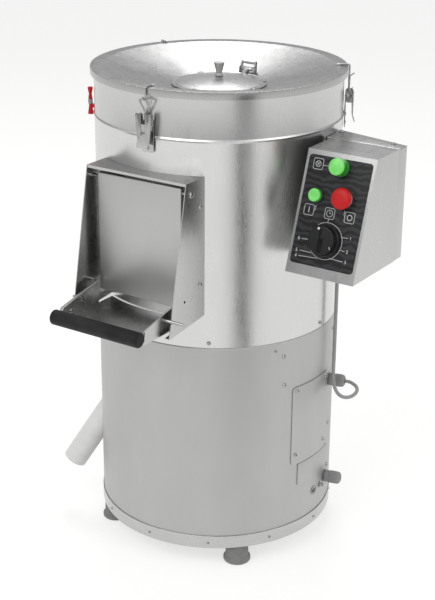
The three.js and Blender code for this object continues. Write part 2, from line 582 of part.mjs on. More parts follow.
function latch(azimuth, label) {
  const group = atAzimuth(azimuth);
  const pivotX = DRUM_R + LATCH_PIVOT_OUT;
  const pivotZ = RIM_TOP - LATCH_PIVOT_DROP;
  const plateX = DRUM_R + BEAD_OUT + GAP;
  const pinZ = pivotZ - LATCH_THROW;
  const across = (r, from, to, z) =>
    rod(r, from, to, 10).rotate([-90, 0, 0]).translate([pivotX, 0, z]);

  const ear = [[plateX + 1, pivotZ - 19], [pivotX - 3.2, pivotZ - 12], [pivotX + 1, pivotZ - 5],
    [pivotX + 4.9, pivotZ - 1], [pivotX + 3.5, pivotZ + 3.5], [pivotX, pivotZ + 5],
    [pivotX - 4.6, pivotZ + 2], [plateX + 1, pivotZ - 2.5]];
  const base = union(
    block(plateX, plateX + PLATE, -11, 11, pivotZ - 59, pivotZ - 7),
    prism(ear, 'y', 8.2, 9.6), prism(ear, 'y', -9.6, -8.2));
  part(`latch_base_${label}`, cut(base, across(LATCH_PIN_R + RUN, -15, 15, pivotZ)), BRIGHT,
    group);

  const plate = [[pivotX + 6, pivotZ + 5], [pivotX + 6, pivotZ - 37.4],
    [pivotX + 10.1, pivotZ - 49.5], [pivotX + 11.5, pivotZ - 49], [pivotX + 7.5, pivotZ - 37],
    [pivotX + 7.5, pivotZ + 5]];
  const taper = prism([[-10, pivotZ - 52], [10, pivotZ - 52], [14.5, pivotZ - 12],
    [14.5, pivotZ + 6], [-14.5, pivotZ + 6], [-14.5, pivotZ - 12]], 'x', pivotX, pivotX + 20);
  const lug = [[pivotX - 4, pinZ - 3], [pivotX - 1, pinZ - 4], [pivotX + 6.5, pinZ - 4],
    [pivotX + 6.5, pivotZ + 4], [pivotX - 2, pivotZ + 4], [pivotX - 4, pivotZ + 2]];
  const lever = union(
    cut(prism(plate, 'y', -15, 15).intersect(taper),
      block(pivotX, pivotX + 20, -4.4, 4.4, pinZ - 12, pivotZ + 10)),
    prism(lug, 'y', 10.4, 11.8), prism(lug, 'y', -11.8, -10.4),
    across(LATCH_PIN_R, 7.4, 11, pivotZ), across(LATCH_PIN_R, -11, -7.4, pivotZ));
  part(`latch_lever_${label}`, cut(lever, across(LATCH_PIN_R + RUN, -15, 15, pinZ)), BRIGHT,
    group);

  // bail: cross pin, stem, a triangle and a flat hook that lies on the rim
  const [inner, outer] = [pivotX - 1.3, pivotX + 1.3];
  const stemTop = pivotZ + 7;
  const barZ = RIM_TOP - BAIL_BAR_DROP;
  const triangle = cut(
    prism([[-3, stemTop], [3, stemTop], [14, barZ], [12.5, barZ + 2.6], [-12.5, barZ + 2.6],
      [-14, barZ]], 'x', inner, outer),
    prism([[0, stemTop + 7], [9.5, barZ - 1.2], [-9.5, barZ - 1.2]], 'x', inner - 5, outer + 5));
  const hookZ = RIM_TOP + RUN;
  const bail = union(
    across(LATCH_PIN_R, -12.4, 12.4, pinZ),
    block(inner, outer, -3, 3, pinZ, stemTop + 4), triangle,
    block(inner, outer, -4, 4, barZ, hookZ + 1.5),
    block(RIM_IN + 1, outer, -4, 4, hookZ, hookZ + 1.5),
    prism([[inner, barZ], [outer + 8, barZ + 7], [outer + 8, barZ + 8.4],
      [inner, barZ + 2]], 'y', -2.5, 2.5));
  part(`latch_bail_${label}`, bail, BRIGHT, group);
}

function interlock() {
  const group = atAzimuth(INTERLOCK_AZ);
  const x = DRUM_R + BEAD_OUT + GAP + 5;
  const low = BEAD_Z - 8;
  const socketTop = low + 26;
  const shank = 1.5;
  const socket = union(
    turned([[0, low], [4.8, low], [4.2, low + 4], [2.6, low + 17], [3.9, low + 20],
      [3.9, socketTop], [0, socketTop]], 16).translate([x, 0, 0]),
    block(DRUM_R + GAP, x, -4.2, 4.2, BEAD_Z + 3 + GAP, socketTop - 2));
  part('interlock_socket', cut(socket,
    rod(shank + RUN, socketTop - 5, socketTop + 5, SMALL, x, 0)), RED, group);
  const seat = socketTop + GAP;
  part('interlock_key', turned([
    [0, seat - 4], [shank, seat - 4], [shank, seat], [3.7, seat], [2.5, seat + 8.5],
    [4.5, seat + 18], [4.2, seat + 19.8], [0, seat + 19.8],
  ], 16).translate([x, 0, 0]), RED, group);
}

// ---- discharge hatch -------------------------------------------------------------------------

const doorPinY = -(DRUM_R + DOOR_PIN_OUT);
const doorPinZ = SEAM_Z + DOOR_PIN_Z;
const trayPivotY = -(DRUM_R + TRAY_PIVOT_OUT);
const trayPivotZ = SEAM_Z + TRAY_PIVOT_Z;

function hatch() {
  const half = HATCH_W / 2;
  const [top, frontLow] = [SEAM_Z + HATCH_TOP, SEAM_Z + HATCH_FRONT_Z];
  const topOut = -(DRUM_R + HATCH_TOP_OUT);
  const lowOut = -(DRUM_R + HATCH_LOW_OUT);
  const inside = -(DRUM_R - 80);
  const meet = -Math.sqrt(DRUM_R ** 2 - half ** 2);
  const slope = (HATCH_BACK_Z - HATCH_FRONT_Z) / (meet - lowOut);
  const backLow = SEAM_Z + HATCH_BACK_Z + (inside - meet) * slope;
  const side = [[inside, backLow], [inside, top], [topOut, top], [lowOut, frontLow]];
  const hem = [[inside, backLow], [lowOut, frontLow], [lowOut, frontLow + PLATE],
    [inside, backLow + PLATE]];
  const wallBackZ = SEAM_Z + TRAY_WALL_HIGH - 2;
  const stopAt = [-(DRUM_R + TRAY_WALL_BACK + 10), wallBackZ + TRAY_PIN_R + 1.4];
  let housing = union(
    prism(side, 'x', half - PLATE, half), prism(side, 'x', -half, PLATE - half),
    block(-half, half, topOut, inside, top - PLATE, top),
    block(-half, half, topOut, topOut + PLATE, top - HATCH_BROW, top),
    prism(hem, 'x', half - 9, half), prism(hem, 'x', -half, 9 - half));
  for (const sign of [1, -1]) {
    const stop = rod(TRAY_PIN_R, TRAY_W / 2 - 1, half - PLATE / 2, 10);
    housing = housing.add(alongX(stop, 0, ...stopAt).scale([sign, 1, 1]));
  }
  const slot = TRAY_PIN_R + RUN;
  part('hatch_housing', cut(housing,
    rod(DRUM_R + RUN, SEAM_Z, DRUM_TOP, DRUM_SIDES),
    alongX(rod(DOOR_PIN_R + RUN, -half - 5, half + 5, SMALL), 0, doorPinY, doorPinZ),
    alongX(rod(slot, -half - 5, half + 5, SMALL), 0, trayPivotY, trayPivotZ),
    block(-half - 5, half + 5, trayPivotY - 60, trayPivotY, trayPivotZ - slot,
      trayPivotZ + slot)), SATIN);

  part('door_pin', alongX(turned([
    [0, -half - 5], [DOOR_PIN_R - 0.6, -half - 5], [DOOR_PIN_R, -half - 4],
    [DOOR_PIN_R, half + GAP], [5.2, half + GAP], [4.4, half + 2.6], [0, half + 3.8],
  ], SMALL), 0, doorPinY, doorPinZ), BRIGHT);

  const face = -(DRUM_R + DOOR_OUT);
  const [low, high] = [SEAM_Z + DOOR_LOW, SEAM_Z + DOOR_HIGH];
  const doorHalf = DOOR_W / 2;
  const fold = face + DOOR_FOLD;
  const door = union(
    block(-doorHalf, doorHalf, face, face + SHEET, low, high),
    block(doorHalf - SHEET, doorHalf, face, fold, low, high),
    block(-doorHalf, SHEET - doorHalf, face, fold, low, high),
    block(-doorHalf, doorHalf, face, fold, high - SHEET, high),
    block(-doorHalf, doorHalf, face, face + 6, low, low + SHEET));
  part('hatch_door', cut(door,
    alongX(rod(DOOR_PIN_R + RUN, -half, half, SMALL), 0, doorPinY, doorPinZ)), SATIN);
}

function tray() {
  const half = TRAY_W / 2;
  const floor = SEAM_Z + TRAY_FLOOR;
  const front = -(DRUM_R + TRAY_OUT);
  const wallBack = -(DRUM_R + TRAY_WALL_BACK);
  const wall = [[wallBack, floor], [wallBack, SEAM_Z + TRAY_WALL_HIGH],
    [front + 4, SEAM_Z + TRAY_WALL_LOW], [front, SEAM_Z + TRAY_WALL_LOW - 5], [front, floor]];
  const gripY = -(DRUM_R + GRIP_OUT);
  const gripZ = SEAM_Z + GRIP_Z;
  const tongue = gripY + 2;
  const body = union(
    block(-half, half, front, -100, floor, floor + SHEET),
    prism(wall, 'x', half - SHEET, half), prism(wall, 'x', -half, SHEET - half),
    block(-half, half, front, front + SHEET, floor, gripZ + SHEET / 2),
    block(-half, half, tongue, front + SHEET, gripZ - SHEET / 2, gripZ + SHEET / 2));
  const pinHole = alongX(rod(TRAY_PIN_R + GAP, -half - 5, half + 5, SMALL),
    0, trayPivotY, trayPivotZ);
  part('discharge_tray', cut(body, rod(DRUM_R + 2.5, floor - 5, floor + 60, DRUM_SIDES),
    pinHole), SATIN);

  const grip = turned([[0, -half - 1.5], [GRIP_R - 1.5, -half - 1.5], [GRIP_R, -half],
    [GRIP_R, half], [GRIP_R - 1.5, half + 1.5], [0, half + 1.5]], 16);
  const slit = block(-half - GAP, half + GAP, tongue - GAP, gripY + 30,
    gripZ - SHEET / 2 - GAP, gripZ + SHEET / 2 + GAP);
  part('tray_handle', cut(alongX(grip, 0, gripY, gripZ), slit), BLACK_RUBBER);

  const inner = half - SHEET - GAP;
  const pin = (end) => turned([[0, inner - 3.4], [4, inner - 3], [4.6, inner], [TRAY_PIN_R, inner],
    [TRAY_PIN_R, end - 1], [TRAY_PIN_R - 1, end], [0, end]], SMALL);
  part('tray_pivot_right', alongX(pin(HATCH_W / 2 + 22), 0, trayPivotY, trayPivotZ), BRIGHT);
  part('tray_pivot_left', alongX(pin(HATCH_W / 2 + 5).rotate([180, 0, 0]), 0, trayPivotY,
    trayPivotZ), BRIGHT);
}

// ---- control box -----------------------------------------------------------------------------

function controlBox() {
  const x0 = DRUM_R + BOX_OFF;
  const x1 = x0 + BOX_W;
  const [low, high] = [SEAM_Z + BOX_LOW, SEAM_Z + BOX_TOP];
  const seam = -GAP / 2;
  const shape = (inset) => {
    const run = (BOX_FRONT_LOW - BOX_FRONT_TOP) / (high - low);
    const lean = inset * Math.hypot(1, run);
    const back = inset > 0 ? 20 : seam;
    return [[back, low + inset], [back, high - inset],
      [-BOX_FRONT_TOP + lean - inset * run, high - inset],
      [-BOX_FRONT_LOW + lean + inset * run, low + inset]];
  };
  const panel = new THREE.Group();
  panel.position.set((x0 + x1) / 2, -BOX_FRONT_TOP, high);
  const lean = Math.atan2(high - low, BOX_FRONT_LOW - BOX_FRONT_TOP);
  panel.rotation.x = lean;
  machine.add(panel);
  const onPanel = (body) => body.rotate([THREE.MathUtils.radToDeg(lean), 0, 0])
    .translate([(x0 + x1) / 2, -BOX_FRONT_TOP, high]);

  const holes = [LAMP_AT, START_AT, STOP_AT].map(([x, y]) =>
    rod(PANEL_HOLE_R, -5, 5, 16, x, y));
  const spindleHole = rod(5, -5, 5, SMALL, ...KNOB_AT);
  part('control_housing', cut(prism(shape(0), 'x', x0, x1),
    prism(shape(PLATE), 'x', x0 + PLATE, x1 - PLATE),
    ...[...holes, spindleHole].map(onPanel)), SATIN);

  const plan = [[x1, GAP / 2], [x1, COVER_FAR], [DRUM_R + 3, COVER_NEAR], [DRUM_R - 12, COVER_NEAR],
    [DRUM_R - 12, GAP / 2]];
  const bore = [[x1 - PLATE, -5], [x1 - PLATE, COVER_FAR - PLATE], [DRUM_R + 5, COVER_NEAR - 2],
    [DRUM_R + 5, -5]];
  part('control_back_cover', cut(prism(plan, 'z', low, high),
    prism(bore, 'z', low + PLATE, high - PLATE),
    rod(DRUM_R + 1, low - 5, high + 5, DRUM_SIDES)), SATIN);

  const face = GAP;
  const label = extruded(roundedRectangle(LABEL_W, LABEL_LEN, 6), 'z', face, face + LABEL_T)
    .translate([0, -LABEL_TOP - LABEL_LEN / 2, 0]);
  part('front_label', cut(label, ...holes, spindleHole), LABEL_BLACK, panel);

  const top = face + LABEL_T + GAP;
  const device = (profile, [x, y], sides = ROUND) => turned(profile, sides).translate([x, y, 0]);
  part('power_lamp', device([[0, -32], [9.5, -32], [9.5, top], [14.2, top], [14.2, top + 3],
    [LAMP_R, top + 3], [LAMP_R, top + 17], [LAMP_R - 3, top + 20], [0, top + 21]], LAMP_AT),
  GREEN, panel);
  const pressIn = 4;
  part('start_button', device([[0, -14], [7, -14], [7, top + pressIn], [START_R, top + pressIn],
    [START_R, top + pressIn + 4], [START_R - 1, top + pressIn + 5],
    [0, top + pressIn + 5]], START_AT), GREEN, panel);
  part('stop_button', device([[0, -14], [8, -14], [8, top + pressIn + 3], [STOP_R - 2, top + 8],
    [STOP_R, top + 11], [STOP_R, top + 14], [STOP_R - 4, top + 17], [0, top + 18]], STOP_AT),
  RED, panel);
  part('timer_knob', device([[0, -10], [3, -10], [3, top + 1], [KNOB_R - 6, top + 1],
    [KNOB_R, top + 2], [KNOB_R, top + 6], [KNOB_R - 2, top + 16], [KNOB_R - 4, top + 17],
    [0, top + 17]], KNOB_AT, 24), BLACK_PLASTIC, panel);
  part('timer_module', block(KNOB_AT[0] - 28, KNOB_AT[0] + 28, KNOB_AT[1] - 28, KNOB_AT[1] + 28,
    -48, -12), GREY_PLASTIC, panel);
}

// ---- glands and cable ------------------------------------------------------------------------

const CABLE_R = 3.15;
const CABLE_X = DRUM_R + 10.3; // where the cable leaves the control box
const CABLE_Y = 37;
const GLAND_END = DRUM_R + 28.5;

function glands() {
  const gland = (end) => turned([
    [0, DRUM_R - 10], [GLAND_THREAD_R, DRUM_R - 10], [GLAND_THREAD_R, DRUM_R + GAP],
    [12.4, DRUM_R + GAP], [12.4, DRUM_R + 8.5], [10.6, DRUM_R + 9.5], [11.4, DRUM_R + 11],
    [11.2, end - 5], [8.6, end - 1], [6.8, end], [0, end],
  ], 16);
  part('upper_gland', alongX(gland(GLAND_END), 0, 0, GLAND_Z), GREY_PLASTIC,
    atAzimuth(GLAND_AZ));
  part('supply_gland', alongX(gland(GLAND_END + 1.5), 0, 0, SUPPLY_GLAND_Z), GREY_PLASTIC,
    atAzimuth(SUPPLY_GLAND_AZ));
  const boxLow = SEAM_Z + BOX_LOW;
  part('box_gland', turned([
    [0, boxLow - 13], [5.4, boxLow - 13], [7.6, boxLow - 11], [8, boxLow - 5], [9.6, boxLow - 5],
    [9.6, boxLow - GAP], [0, boxLow - GAP],
  ], 16).translate([CABLE_X, CABLE_Y, 0]), GREY_PLASTIC);
}

// route of the connecting cable, from the box gland to the upper gland
const CABLE_ROUTE = [
  [220.3, 37, 548.7], [220.3, 37, 508.7], [220.3, 37, 458.7], [220.3, 37, 408.7],
  [220.3, 37, 368.7], [220.7, 36.3, 343.7], [221.5, 34.5, 326.8], [223.1, 32.1, 314],
  [225.6, 29.7, 304.5], [230.4, 26.9, 295.2], [238.8, 25.1, 287], [248.9, 26.5, 283.3],
  [257.9, 32.5, 284.2], [262, 42, 287.3], [260.5, 52.3, 290.4], [253.7, 60.4, 292.7],
  [243.7, 64.6, 294.3], [236.8, 65.7, 295], [230.2, 63.8, 295],
];

function cable() {
  const route = new THREE.CatmullRomCurve3(
    CABLE_ROUTE.map((point) => new THREE.Vector3(...point)), false, 'centripetal');
  const section = new THREE.Shape().absarc(0, 0, CABLE_R, 0, 2 * Math.PI);
  const tube = new THREE.ExtrudeGeometry(section, {
    steps: 36, curveSegments: 4, extrudePath: route,
  });
  part('connecting_cable', solid(tube), GREY_PLASTIC);
}

// ---- whole machine ---------------------------------------------------------------------------

base();
lowerShell();
upperShell();
chamber();
drain();
hopper();
LATCH_AZ.forEach((azimuth, i) => latch(azimuth, ['front', 'right', 'left'][i]));
interlock();
hatch();
tray();
controlBox();
glands();
cable();

const bounds = new THREE.Box3();
machine.updateMatrixWorld(true);
machine.traverse((node) => {
  if (node.isMesh && node.name !== 'connecting_cable') bounds.expandByObject(node, true);
});
const middle = bounds.getCenter(new THREE.Vector3());
machine.position.set(-middle.x, -middle.y, -bounds.min.z);

export default machine;
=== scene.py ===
import json
from math import atan2, cos, pi, radians, sin, tan

import bmesh
import bpy
from mathutils import Matrix, Vector


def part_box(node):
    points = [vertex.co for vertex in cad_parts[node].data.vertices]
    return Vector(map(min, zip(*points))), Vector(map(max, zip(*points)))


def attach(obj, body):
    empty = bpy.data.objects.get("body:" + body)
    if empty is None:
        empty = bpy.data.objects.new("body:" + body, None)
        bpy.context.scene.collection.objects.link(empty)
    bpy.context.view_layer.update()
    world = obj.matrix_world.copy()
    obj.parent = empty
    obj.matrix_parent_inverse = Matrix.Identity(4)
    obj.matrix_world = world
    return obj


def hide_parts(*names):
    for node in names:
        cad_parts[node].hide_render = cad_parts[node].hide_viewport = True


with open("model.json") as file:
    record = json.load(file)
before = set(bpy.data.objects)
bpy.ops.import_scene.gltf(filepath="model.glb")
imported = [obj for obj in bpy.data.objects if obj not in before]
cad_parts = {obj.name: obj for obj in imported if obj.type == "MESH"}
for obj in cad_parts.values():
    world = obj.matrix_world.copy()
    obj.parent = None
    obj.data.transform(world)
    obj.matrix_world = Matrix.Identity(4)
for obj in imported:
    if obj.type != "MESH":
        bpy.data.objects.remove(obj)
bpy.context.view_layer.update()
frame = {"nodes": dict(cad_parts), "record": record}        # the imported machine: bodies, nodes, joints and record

MM = 0.001

# ---- sizes read from the frame, in millimetres -----------------------------------------------


def lowest(node):
    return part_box(node)[0] / MM


def highest(node):
    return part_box(node)[1] / MM


def middle(node):
    return (lowest(node) + highest(node)) / 2


AXIS = middle("lower_shell")
DRUM_R = highest("lower_shell").x - AXIS.x
GAP = 0.3
SHEET = 1.2
PLATE = 1.5
SEAM = lowest("upper_shell").z
BAND_LOW = lowest("base_pan").z
BAND_R = highest("base_pan").x - AXIS.x
DRUM_TOP = highest("upper_shell").z
RIM_TOP = highest("hopper").z
RIM_R = highest("hopper").x - AXIS.x
THROAT_LOW = lowest("hopper").z
BEAD_Z = DRUM_TOP - 74
FACETS = 160

drum = Matrix.Translation((AXIS.x * MM, AXIS.y * MM, 0))


def around(azimuth):
    """the drum's axis turned so that x points out of the drum, counted from the hatch side"""
    return drum @ Matrix.Rotation(radians(azimuth - 90), 4, "Z")


# ---- working by hand: selection, tracing, turning, cutting ------------------------------------


def only(piece):
    """the piece alone is selected and active"""
    for other in list(bpy.context.selected_objects):
        other.select_set(False)
    piece.select_set(True)
    bpy.context.view_layer.objects.active = piece


def nothing():
    for other in list(bpy.context.selected_objects):
        other.select_set(False)


def pick(piece, kind, wanted):
    """selects the vertices, edges or faces that a test wants, in edit mode"""
    shape = bmesh.from_edit_mesh(piece.data)
    for group in (shape.verts, shape.edges, shape.faces):
        for one in group:
            one.select = False
    for one in getattr(shape, kind):
        if wanted(one):
            one.select_set(True)
    shape.select_flush_mode()
    bmesh.update_edit_mesh(piece.data)


def traced(name, points, closed=False):
    """a line through points in millimetres, drawn by pulling one vertex on; left in edit mode"""
    nothing()
    first = Vector(points[0])
    bpy.ops.mesh.primitive_plane_add(size=0.01, location=first * MM, enter_editmode=True)
    piece = bpy.context.object
    piece.name = name
    bpy.ops.mesh.merge(type="CENTER")
    path = [Vector(p) for p in points] + ([first] if closed else [])
    for here, there in zip(path, path[1:]):
        bpy.ops.mesh.extrude_region_move(TRANSFORM_OT_translate={"value": (there - here) * MM})
    return piece


def closed_up(piece):
    """ends edit mode with doubles merged and faces outwards"""
    bpy.ops.mesh.select_all(action="SELECT")
    bpy.ops.mesh.remove_doubles(threshold=1e-6)
    bpy.ops.mesh.normals_make_consistent(inside=False)
    bpy.ops.object.mode_set(mode="OBJECT")
    return piece


def turned(name, profile, steps=48, ring=False):
    """(radius, height) turned about the upright axis; a ring's profile closes on itself"""
    piece = traced(name, [(r, 0, z) for r, z in profile], ring)
    bpy.ops.mesh.select_all(action="SELECT")
    bpy.ops.mesh.spin(steps=steps, angle=2 * pi, center=(0, 0, 0), axis=(0, 0, 1))
    return closed_up(piece)


def plate(name, outline, z0, z1):
    """an outline in x and y, thickened from z0 to z1"""
    piece = traced(name, [(x, y, z0) for x, y in outline], True)
    bpy.ops.mesh.select_all(action="SELECT")
    bpy.ops.mesh.remove_doubles(threshold=1e-6)
    bpy.ops.mesh.edge_face_add()
    bpy.ops.mesh.extrude_region_move(TRANSFORM_OT_translate={"value": (0, 0, (z1 - z0) * MM)})
    return closed_up(piece)


def block(name, low, high):
    """a block between two corners in millimetres"""
    nothing()
    low, high = Vector(low), Vector(high)
    bpy.ops.mesh.primitive_cube_add(size=1, location=(low + high) / 2 * MM,
                                    scale=(high - low) * MM)
    piece = bpy.context.object
    piece.name = name
    bpy.ops.object.transform_apply()
    return piece


ACROSS = Matrix(((0, 0, 1, 0), (1, 0, 0, 0), (0, 1, 0, 0), (0, 0, 0, 1)))     # plan x, y to y, z
ALONG = Matrix(((1, 0, 0, 0), (0, 0, -1, 0), (0, 1, 0, 0), (0, 0, 0, 1)))     # plan x, y to x, z


def laid(piece, matrix):
    """moves a piece by a matrix and settles it in its mesh"""
    only(piece)
    piece.matrix_world = matrix @ piece.matrix_world
    bpy.ops.object.transform_apply()
    return piece


def settled(piece, kind, **settings):
    """adds a modifier and applies it"""
    only(piece)
    change = piece.modifiers.new(kind.lower(), kind)
    for key, value in settings.items():
        setattr(change, key, value)
    bpy.ops.object.modifier_apply(modifier=change.name)
    return piece


def eased(piece, width, segments=2, angle=30):
    """breaks the sharp edges"""
    return settled(piece, "BEVEL", width=width * MM, segments=segments, limit_method="ANGLE",
                   angle_limit=radians(angle), use_clamp_overlap=True)


def cut(piece, *cutters, operation="DIFFERENCE"):
    for cutter in cutters:
        settled(piece, "BOOLEAN", operation=operation, object=cutter, solver="EXACT")
        bpy.data.objects.remove(cutter)
    return piece


def joined(first, *others):
    """one piece out of several"""
    nothing()
    for piece in (first, *others):
        piece.select_set(True)
    bpy.context.view_layer.objects.active = first
    bpy.ops.object.join()
    return first


def copied(piece):
    """a copy with its own mesh"""
    other = piece.copy()
    other.data = piece.data.copy()
    bpy.context.scene.collection.objects.link(other)
    return other


def rounded(points, radius, steps=4, closed=True):
    """an outline with its corners turned into arcs"""
    corners = [Vector(p).to_3d() for p in points]
    count = len(corners)
    line = []
    for i, corner in enumerate(corners):
        if not closed and i in (0, count - 1):
            line.append(corner)
            continue
        back = corners[i - 1] - corner
        ahead = corners[(i + 1) % count] - corner
        half = back.angle(ahead) / 2
        run = min(radius / tan(half), 0.48 * back.length, 0.48 * ahead.length)
        start, end = corner + back.normalized() * run, corner + ahead.normalized() * run
        for step in range(steps + 1):
            t = step / steps
            line.append(start * (1 - t) ** 2 + corner * 2 * t * (1 - t) + end * t ** 2)
    return [tuple(p) if len(points[0]) == 3 else (p.x, p.y) for p in line]


def rectangle(w, h, radius, steps=4):
    corners = [(-w / 2, -h / 2), (w / 2, -h / 2), (w / 2, h / 2), (-w / 2, h / 2)]
    return rounded(corners, radius, steps)


def wire(name, points, radius, closed=False, sides=4):
    """a round bar along points in millimetres"""
    nothing()
    line = bpy.data.curves.new(name, "CURVE")
    line.dimensions = "3D"
    line.bevel_depth = radius * MM
    line.bevel_resolution = sides
    line.use_fill_caps = not closed
    spline = line.splines.new("POLY")
    spline.points.add(len(points) - 1)
    for place, point in zip(spline.points, points):
        place.co = (*(Vector(point).to_3d() * MM), 1)
    spline.use_cyclic_u = closed
    piece = bpy.data.objects.new(name, line)
    bpy.context.scene.collection.objects.link(piece)
    return piece


def made_mesh(piece):
    only(piece)
    bpy.ops.object.convert(target="MESH")
    return bpy.context.object


def bar(name, points, radius, closed=False, sides=4):
    return made_mesh(wire(name, points, radius, closed, sides))


def placed(piece, name, place, look, body, slot, *nodes, smooth=32):
    """settles a finished piece: place, smoothness, look and the body it rides on; what it is (the slot) is not used
    """
    laid(piece, place)
    only(piece)
    bpy.ops.object.shade_smooth_by_angle(angle=radians(smooth))
    piece.name = name
    piece.data.name = name
    piece.data.materials.clear()
    piece.data.materials.append(look)
    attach(piece, body)
    if nodes:
        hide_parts(*nodes)
    return piece


# ---- looks -----------------------------------------------------------------------------------


class Value:
    """an output of a shader node that can be added, multiplied and so on"""

    def __init__(self, look, socket):
        self.look, self.socket = look, socket

    def _with(self, operation, first, second):
        return self.look.node("ShaderNodeMath", {"operation": operation}, {0: first, 1: second})

    def __add__(self, other):
        return self._with("ADD", self, other)

    def __radd__(self, other):
        return self._with("ADD", other, self)

    def __sub__(self, other):
        return self._with("SUBTRACT", self, other)

    def __rsub__(self, other):
        return self._with("SUBTRACT", other, self)

    def __mul__(self, other):
        return self._with("MULTIPLY", self, other)

    def __rmul__(self, other):
        return self._with("MULTIPLY", other, self)


class Look:
    """a material built up from nodes"""

    def __init__(self, name, **constants):
        self.material = bpy.data.materials.new(name)
        self.material.use_nodes = True
        self.tree = self.material.node_tree
        self.tree.nodes.clear()
        self.shader = self.tree.nodes.new("ShaderNodeBsdfPrincipled")
        end = self.tree.nodes.new("ShaderNodeOutputMaterial")
        self.tree.links.new(self.shader.outputs["BSDF"], end.inputs["Surface"])
        self.place = self.node("ShaderNodeTexCoord", {}, {}, "Object")
        for socket, value in constants.items():
            self.feed(socket.replace("_", " "), value)

    def node(self, kind, settings, inputs, output=0):
        made = self.tree.nodes.new(kind)
        for key, value in settings.items():
            if key == "stops":
                ramp = made.color_ramp
                while len(ramp.elements) < len(value):
                    ramp.elements.new(0.5)
                for element, (at, colour) in zip(ramp.elements, value):
                    element.position, element.color = at, (*colour, 1)
            else:
                setattr(made, key, value)
        for key, value in inputs.items():
            self.join(value, made.inputs[key])
        return Value(self, made.outputs[output])

    def join(self, value, socket):
        if isinstance(value, Value):
            self.tree.links.new(value.socket, socket)
        elif isinstance(value, tuple) and len(value) == 3 and socket.type == "RGBA":
            socket.default_value = (*value, 1)
        else:
            socket.default_value = value

    def feed(self, socket, value):
        self.join(value, self.shader.inputs[socket])

    def scaled(self, x, y, z):
        """object coordinates stretched, so that a pattern becomes a grain"""
        return self.node("ShaderNodeMapping", {"vector_type": "POINT"},
                         {"Vector": self.place, "Scale": (x, y, z)})

    def noise(self, where, scale, detail=3.0, rough=0.55):
        return self.node("ShaderNodeTexNoise", {}, {"Vector": where, "Scale": scale,
                         "Detail": detail, "Roughness": rough})

    def ramp(self, factor, *stops):
        return self.node("ShaderNodeValToRGB", {"stops": stops}, {"Fac": factor})

    def levels(self, factor, low, high):
        """a noise drawn out to run from low to high"""
        return self.node("ShaderNodeMapRange", {}, {"Value": factor, "From Min": 0.3,
                         "From Max": 0.7, "To Min": low, "To Max": high})

    def blend(self, factor, first, second):
        mixed = self.node("ShaderNodeMix", {"data_type": "RGBA"}, {0: factor}, 2)
        sockets = mixed.socket.node.inputs
        self.join(first, sockets[6])
        self.join(second, sockets[7])
        return mixed

    def bump(self, height, distance, strength=1.0):
        self.feed("Normal", self.node("ShaderNodeBump", {}, {
            "Strength": strength, "Distance": distance, "Height": height}))


def grey(level):
    return (level, level, level * 0.99)


def sheet_steel(name, tone, roughness, grain=(60, 60, 3), streak=0.03, wave=0.0):
    """rolled stainless sheet: fine grain along one way, cloudy handling marks, slight waves"""
    look = Look(name, Metallic=1.0)
    lines = look.noise(look.scaled(*grain), 20, 4, 0.6)
    clouds = look.noise(look.place, 5, 3)
    smears = look.noise(look.scaled(9, 9, 2.5), 3, 5, 0.65)
    shade = look.levels(lines, 0, 0.5) + look.levels(clouds, 0, 0.5)
    look.feed("Base Color", look.blend(shade, grey(tone - streak), grey(tone + streak)))
    look.feed("Roughness", look.levels(lines, -0.03, 0.03) + look.levels(smears, -0.03, 0.04)
              + roughness)
    height = lines * 0.00002
    if wave:
        height = height + look.noise(look.place, 2.2, 1) * wave
    look.bump(height, 1.0)
    return look.material


def polished(name, tone, roughness):
    """bright formed steel with faint scuffs"""
    look = Look(name, Metallic=1.0)
    scuffs = look.noise(look.scaled(40, 40, 120), 6, 5, 0.7)
    patches = look.noise(look.place, 45, 3)
    look.feed("Base Color", look.blend(look.levels(patches, 0, 1), grey(tone - 0.1), grey(tone)))
    look.feed("Roughness", look.levels(scuffs, -0.04, 0.06) + roughness)
    look.bump(scuffs, 0.00002)
    return look.material


def casting(name, tone):
    """painted cast metal with a sandy skin"""
    look = Look(name, Metallic=0.35)
    skin = look.noise(look.place, 420, 5, 0.7)
    dust = look.noise(look.place, 22, 4)
    look.feed("Base Color", look.blend(look.levels(dust, 0, 1), grey(tone * 0.75), grey(tone)))
    look.feed("Roughness", look.levels(skin, 0.5, 0.7))
    look.bump(skin, 0.0004)
    return look.material


def bonded_grit():
    """coarse abrasive grains in a dark bond"""
    look = Look("bonded_grit")
    grains = look.node("ShaderNodeTexVoronoi", {}, {"Vector": look.place, "Scale": 340.0})
    worn = look.noise(look.place, 14, 4)
    bright = look.ramp(grains, (0.0, (0.34, 0.32, 0.28)), (0.35, (0.13, 0.12, 0.11)),
                       (1.0, (0.04, 0.04, 0.038)))
    look.feed("Base Color", look.blend(look.levels(worn, 0, 0.5), bright, (0.3, 0.28, 0.25)))
    look.feed("Roughness", look.levels(worn, 0.75, 0.95))
    look.bump(1 - grains, 0.0012)
    return look.material


def rubber(name, colour, roughness):
    look = Look(name, Specular_IOR_Level=0.25)
    skin = look.noise(look.place, 600, 4, 0.7)
    dust = look.noise(look.place, 30, 4)
    lighter = tuple(c * 1.5 + 0.01 for c in colour)
    look.feed("Base Color", look.blend(look.levels(dust, 0, 1), colour, lighter))
    look.feed("Roughness", look.levels(skin, roughness - 0.08, roughness + 0.08))
    look.bump(skin, 0.0002)
    return look.material


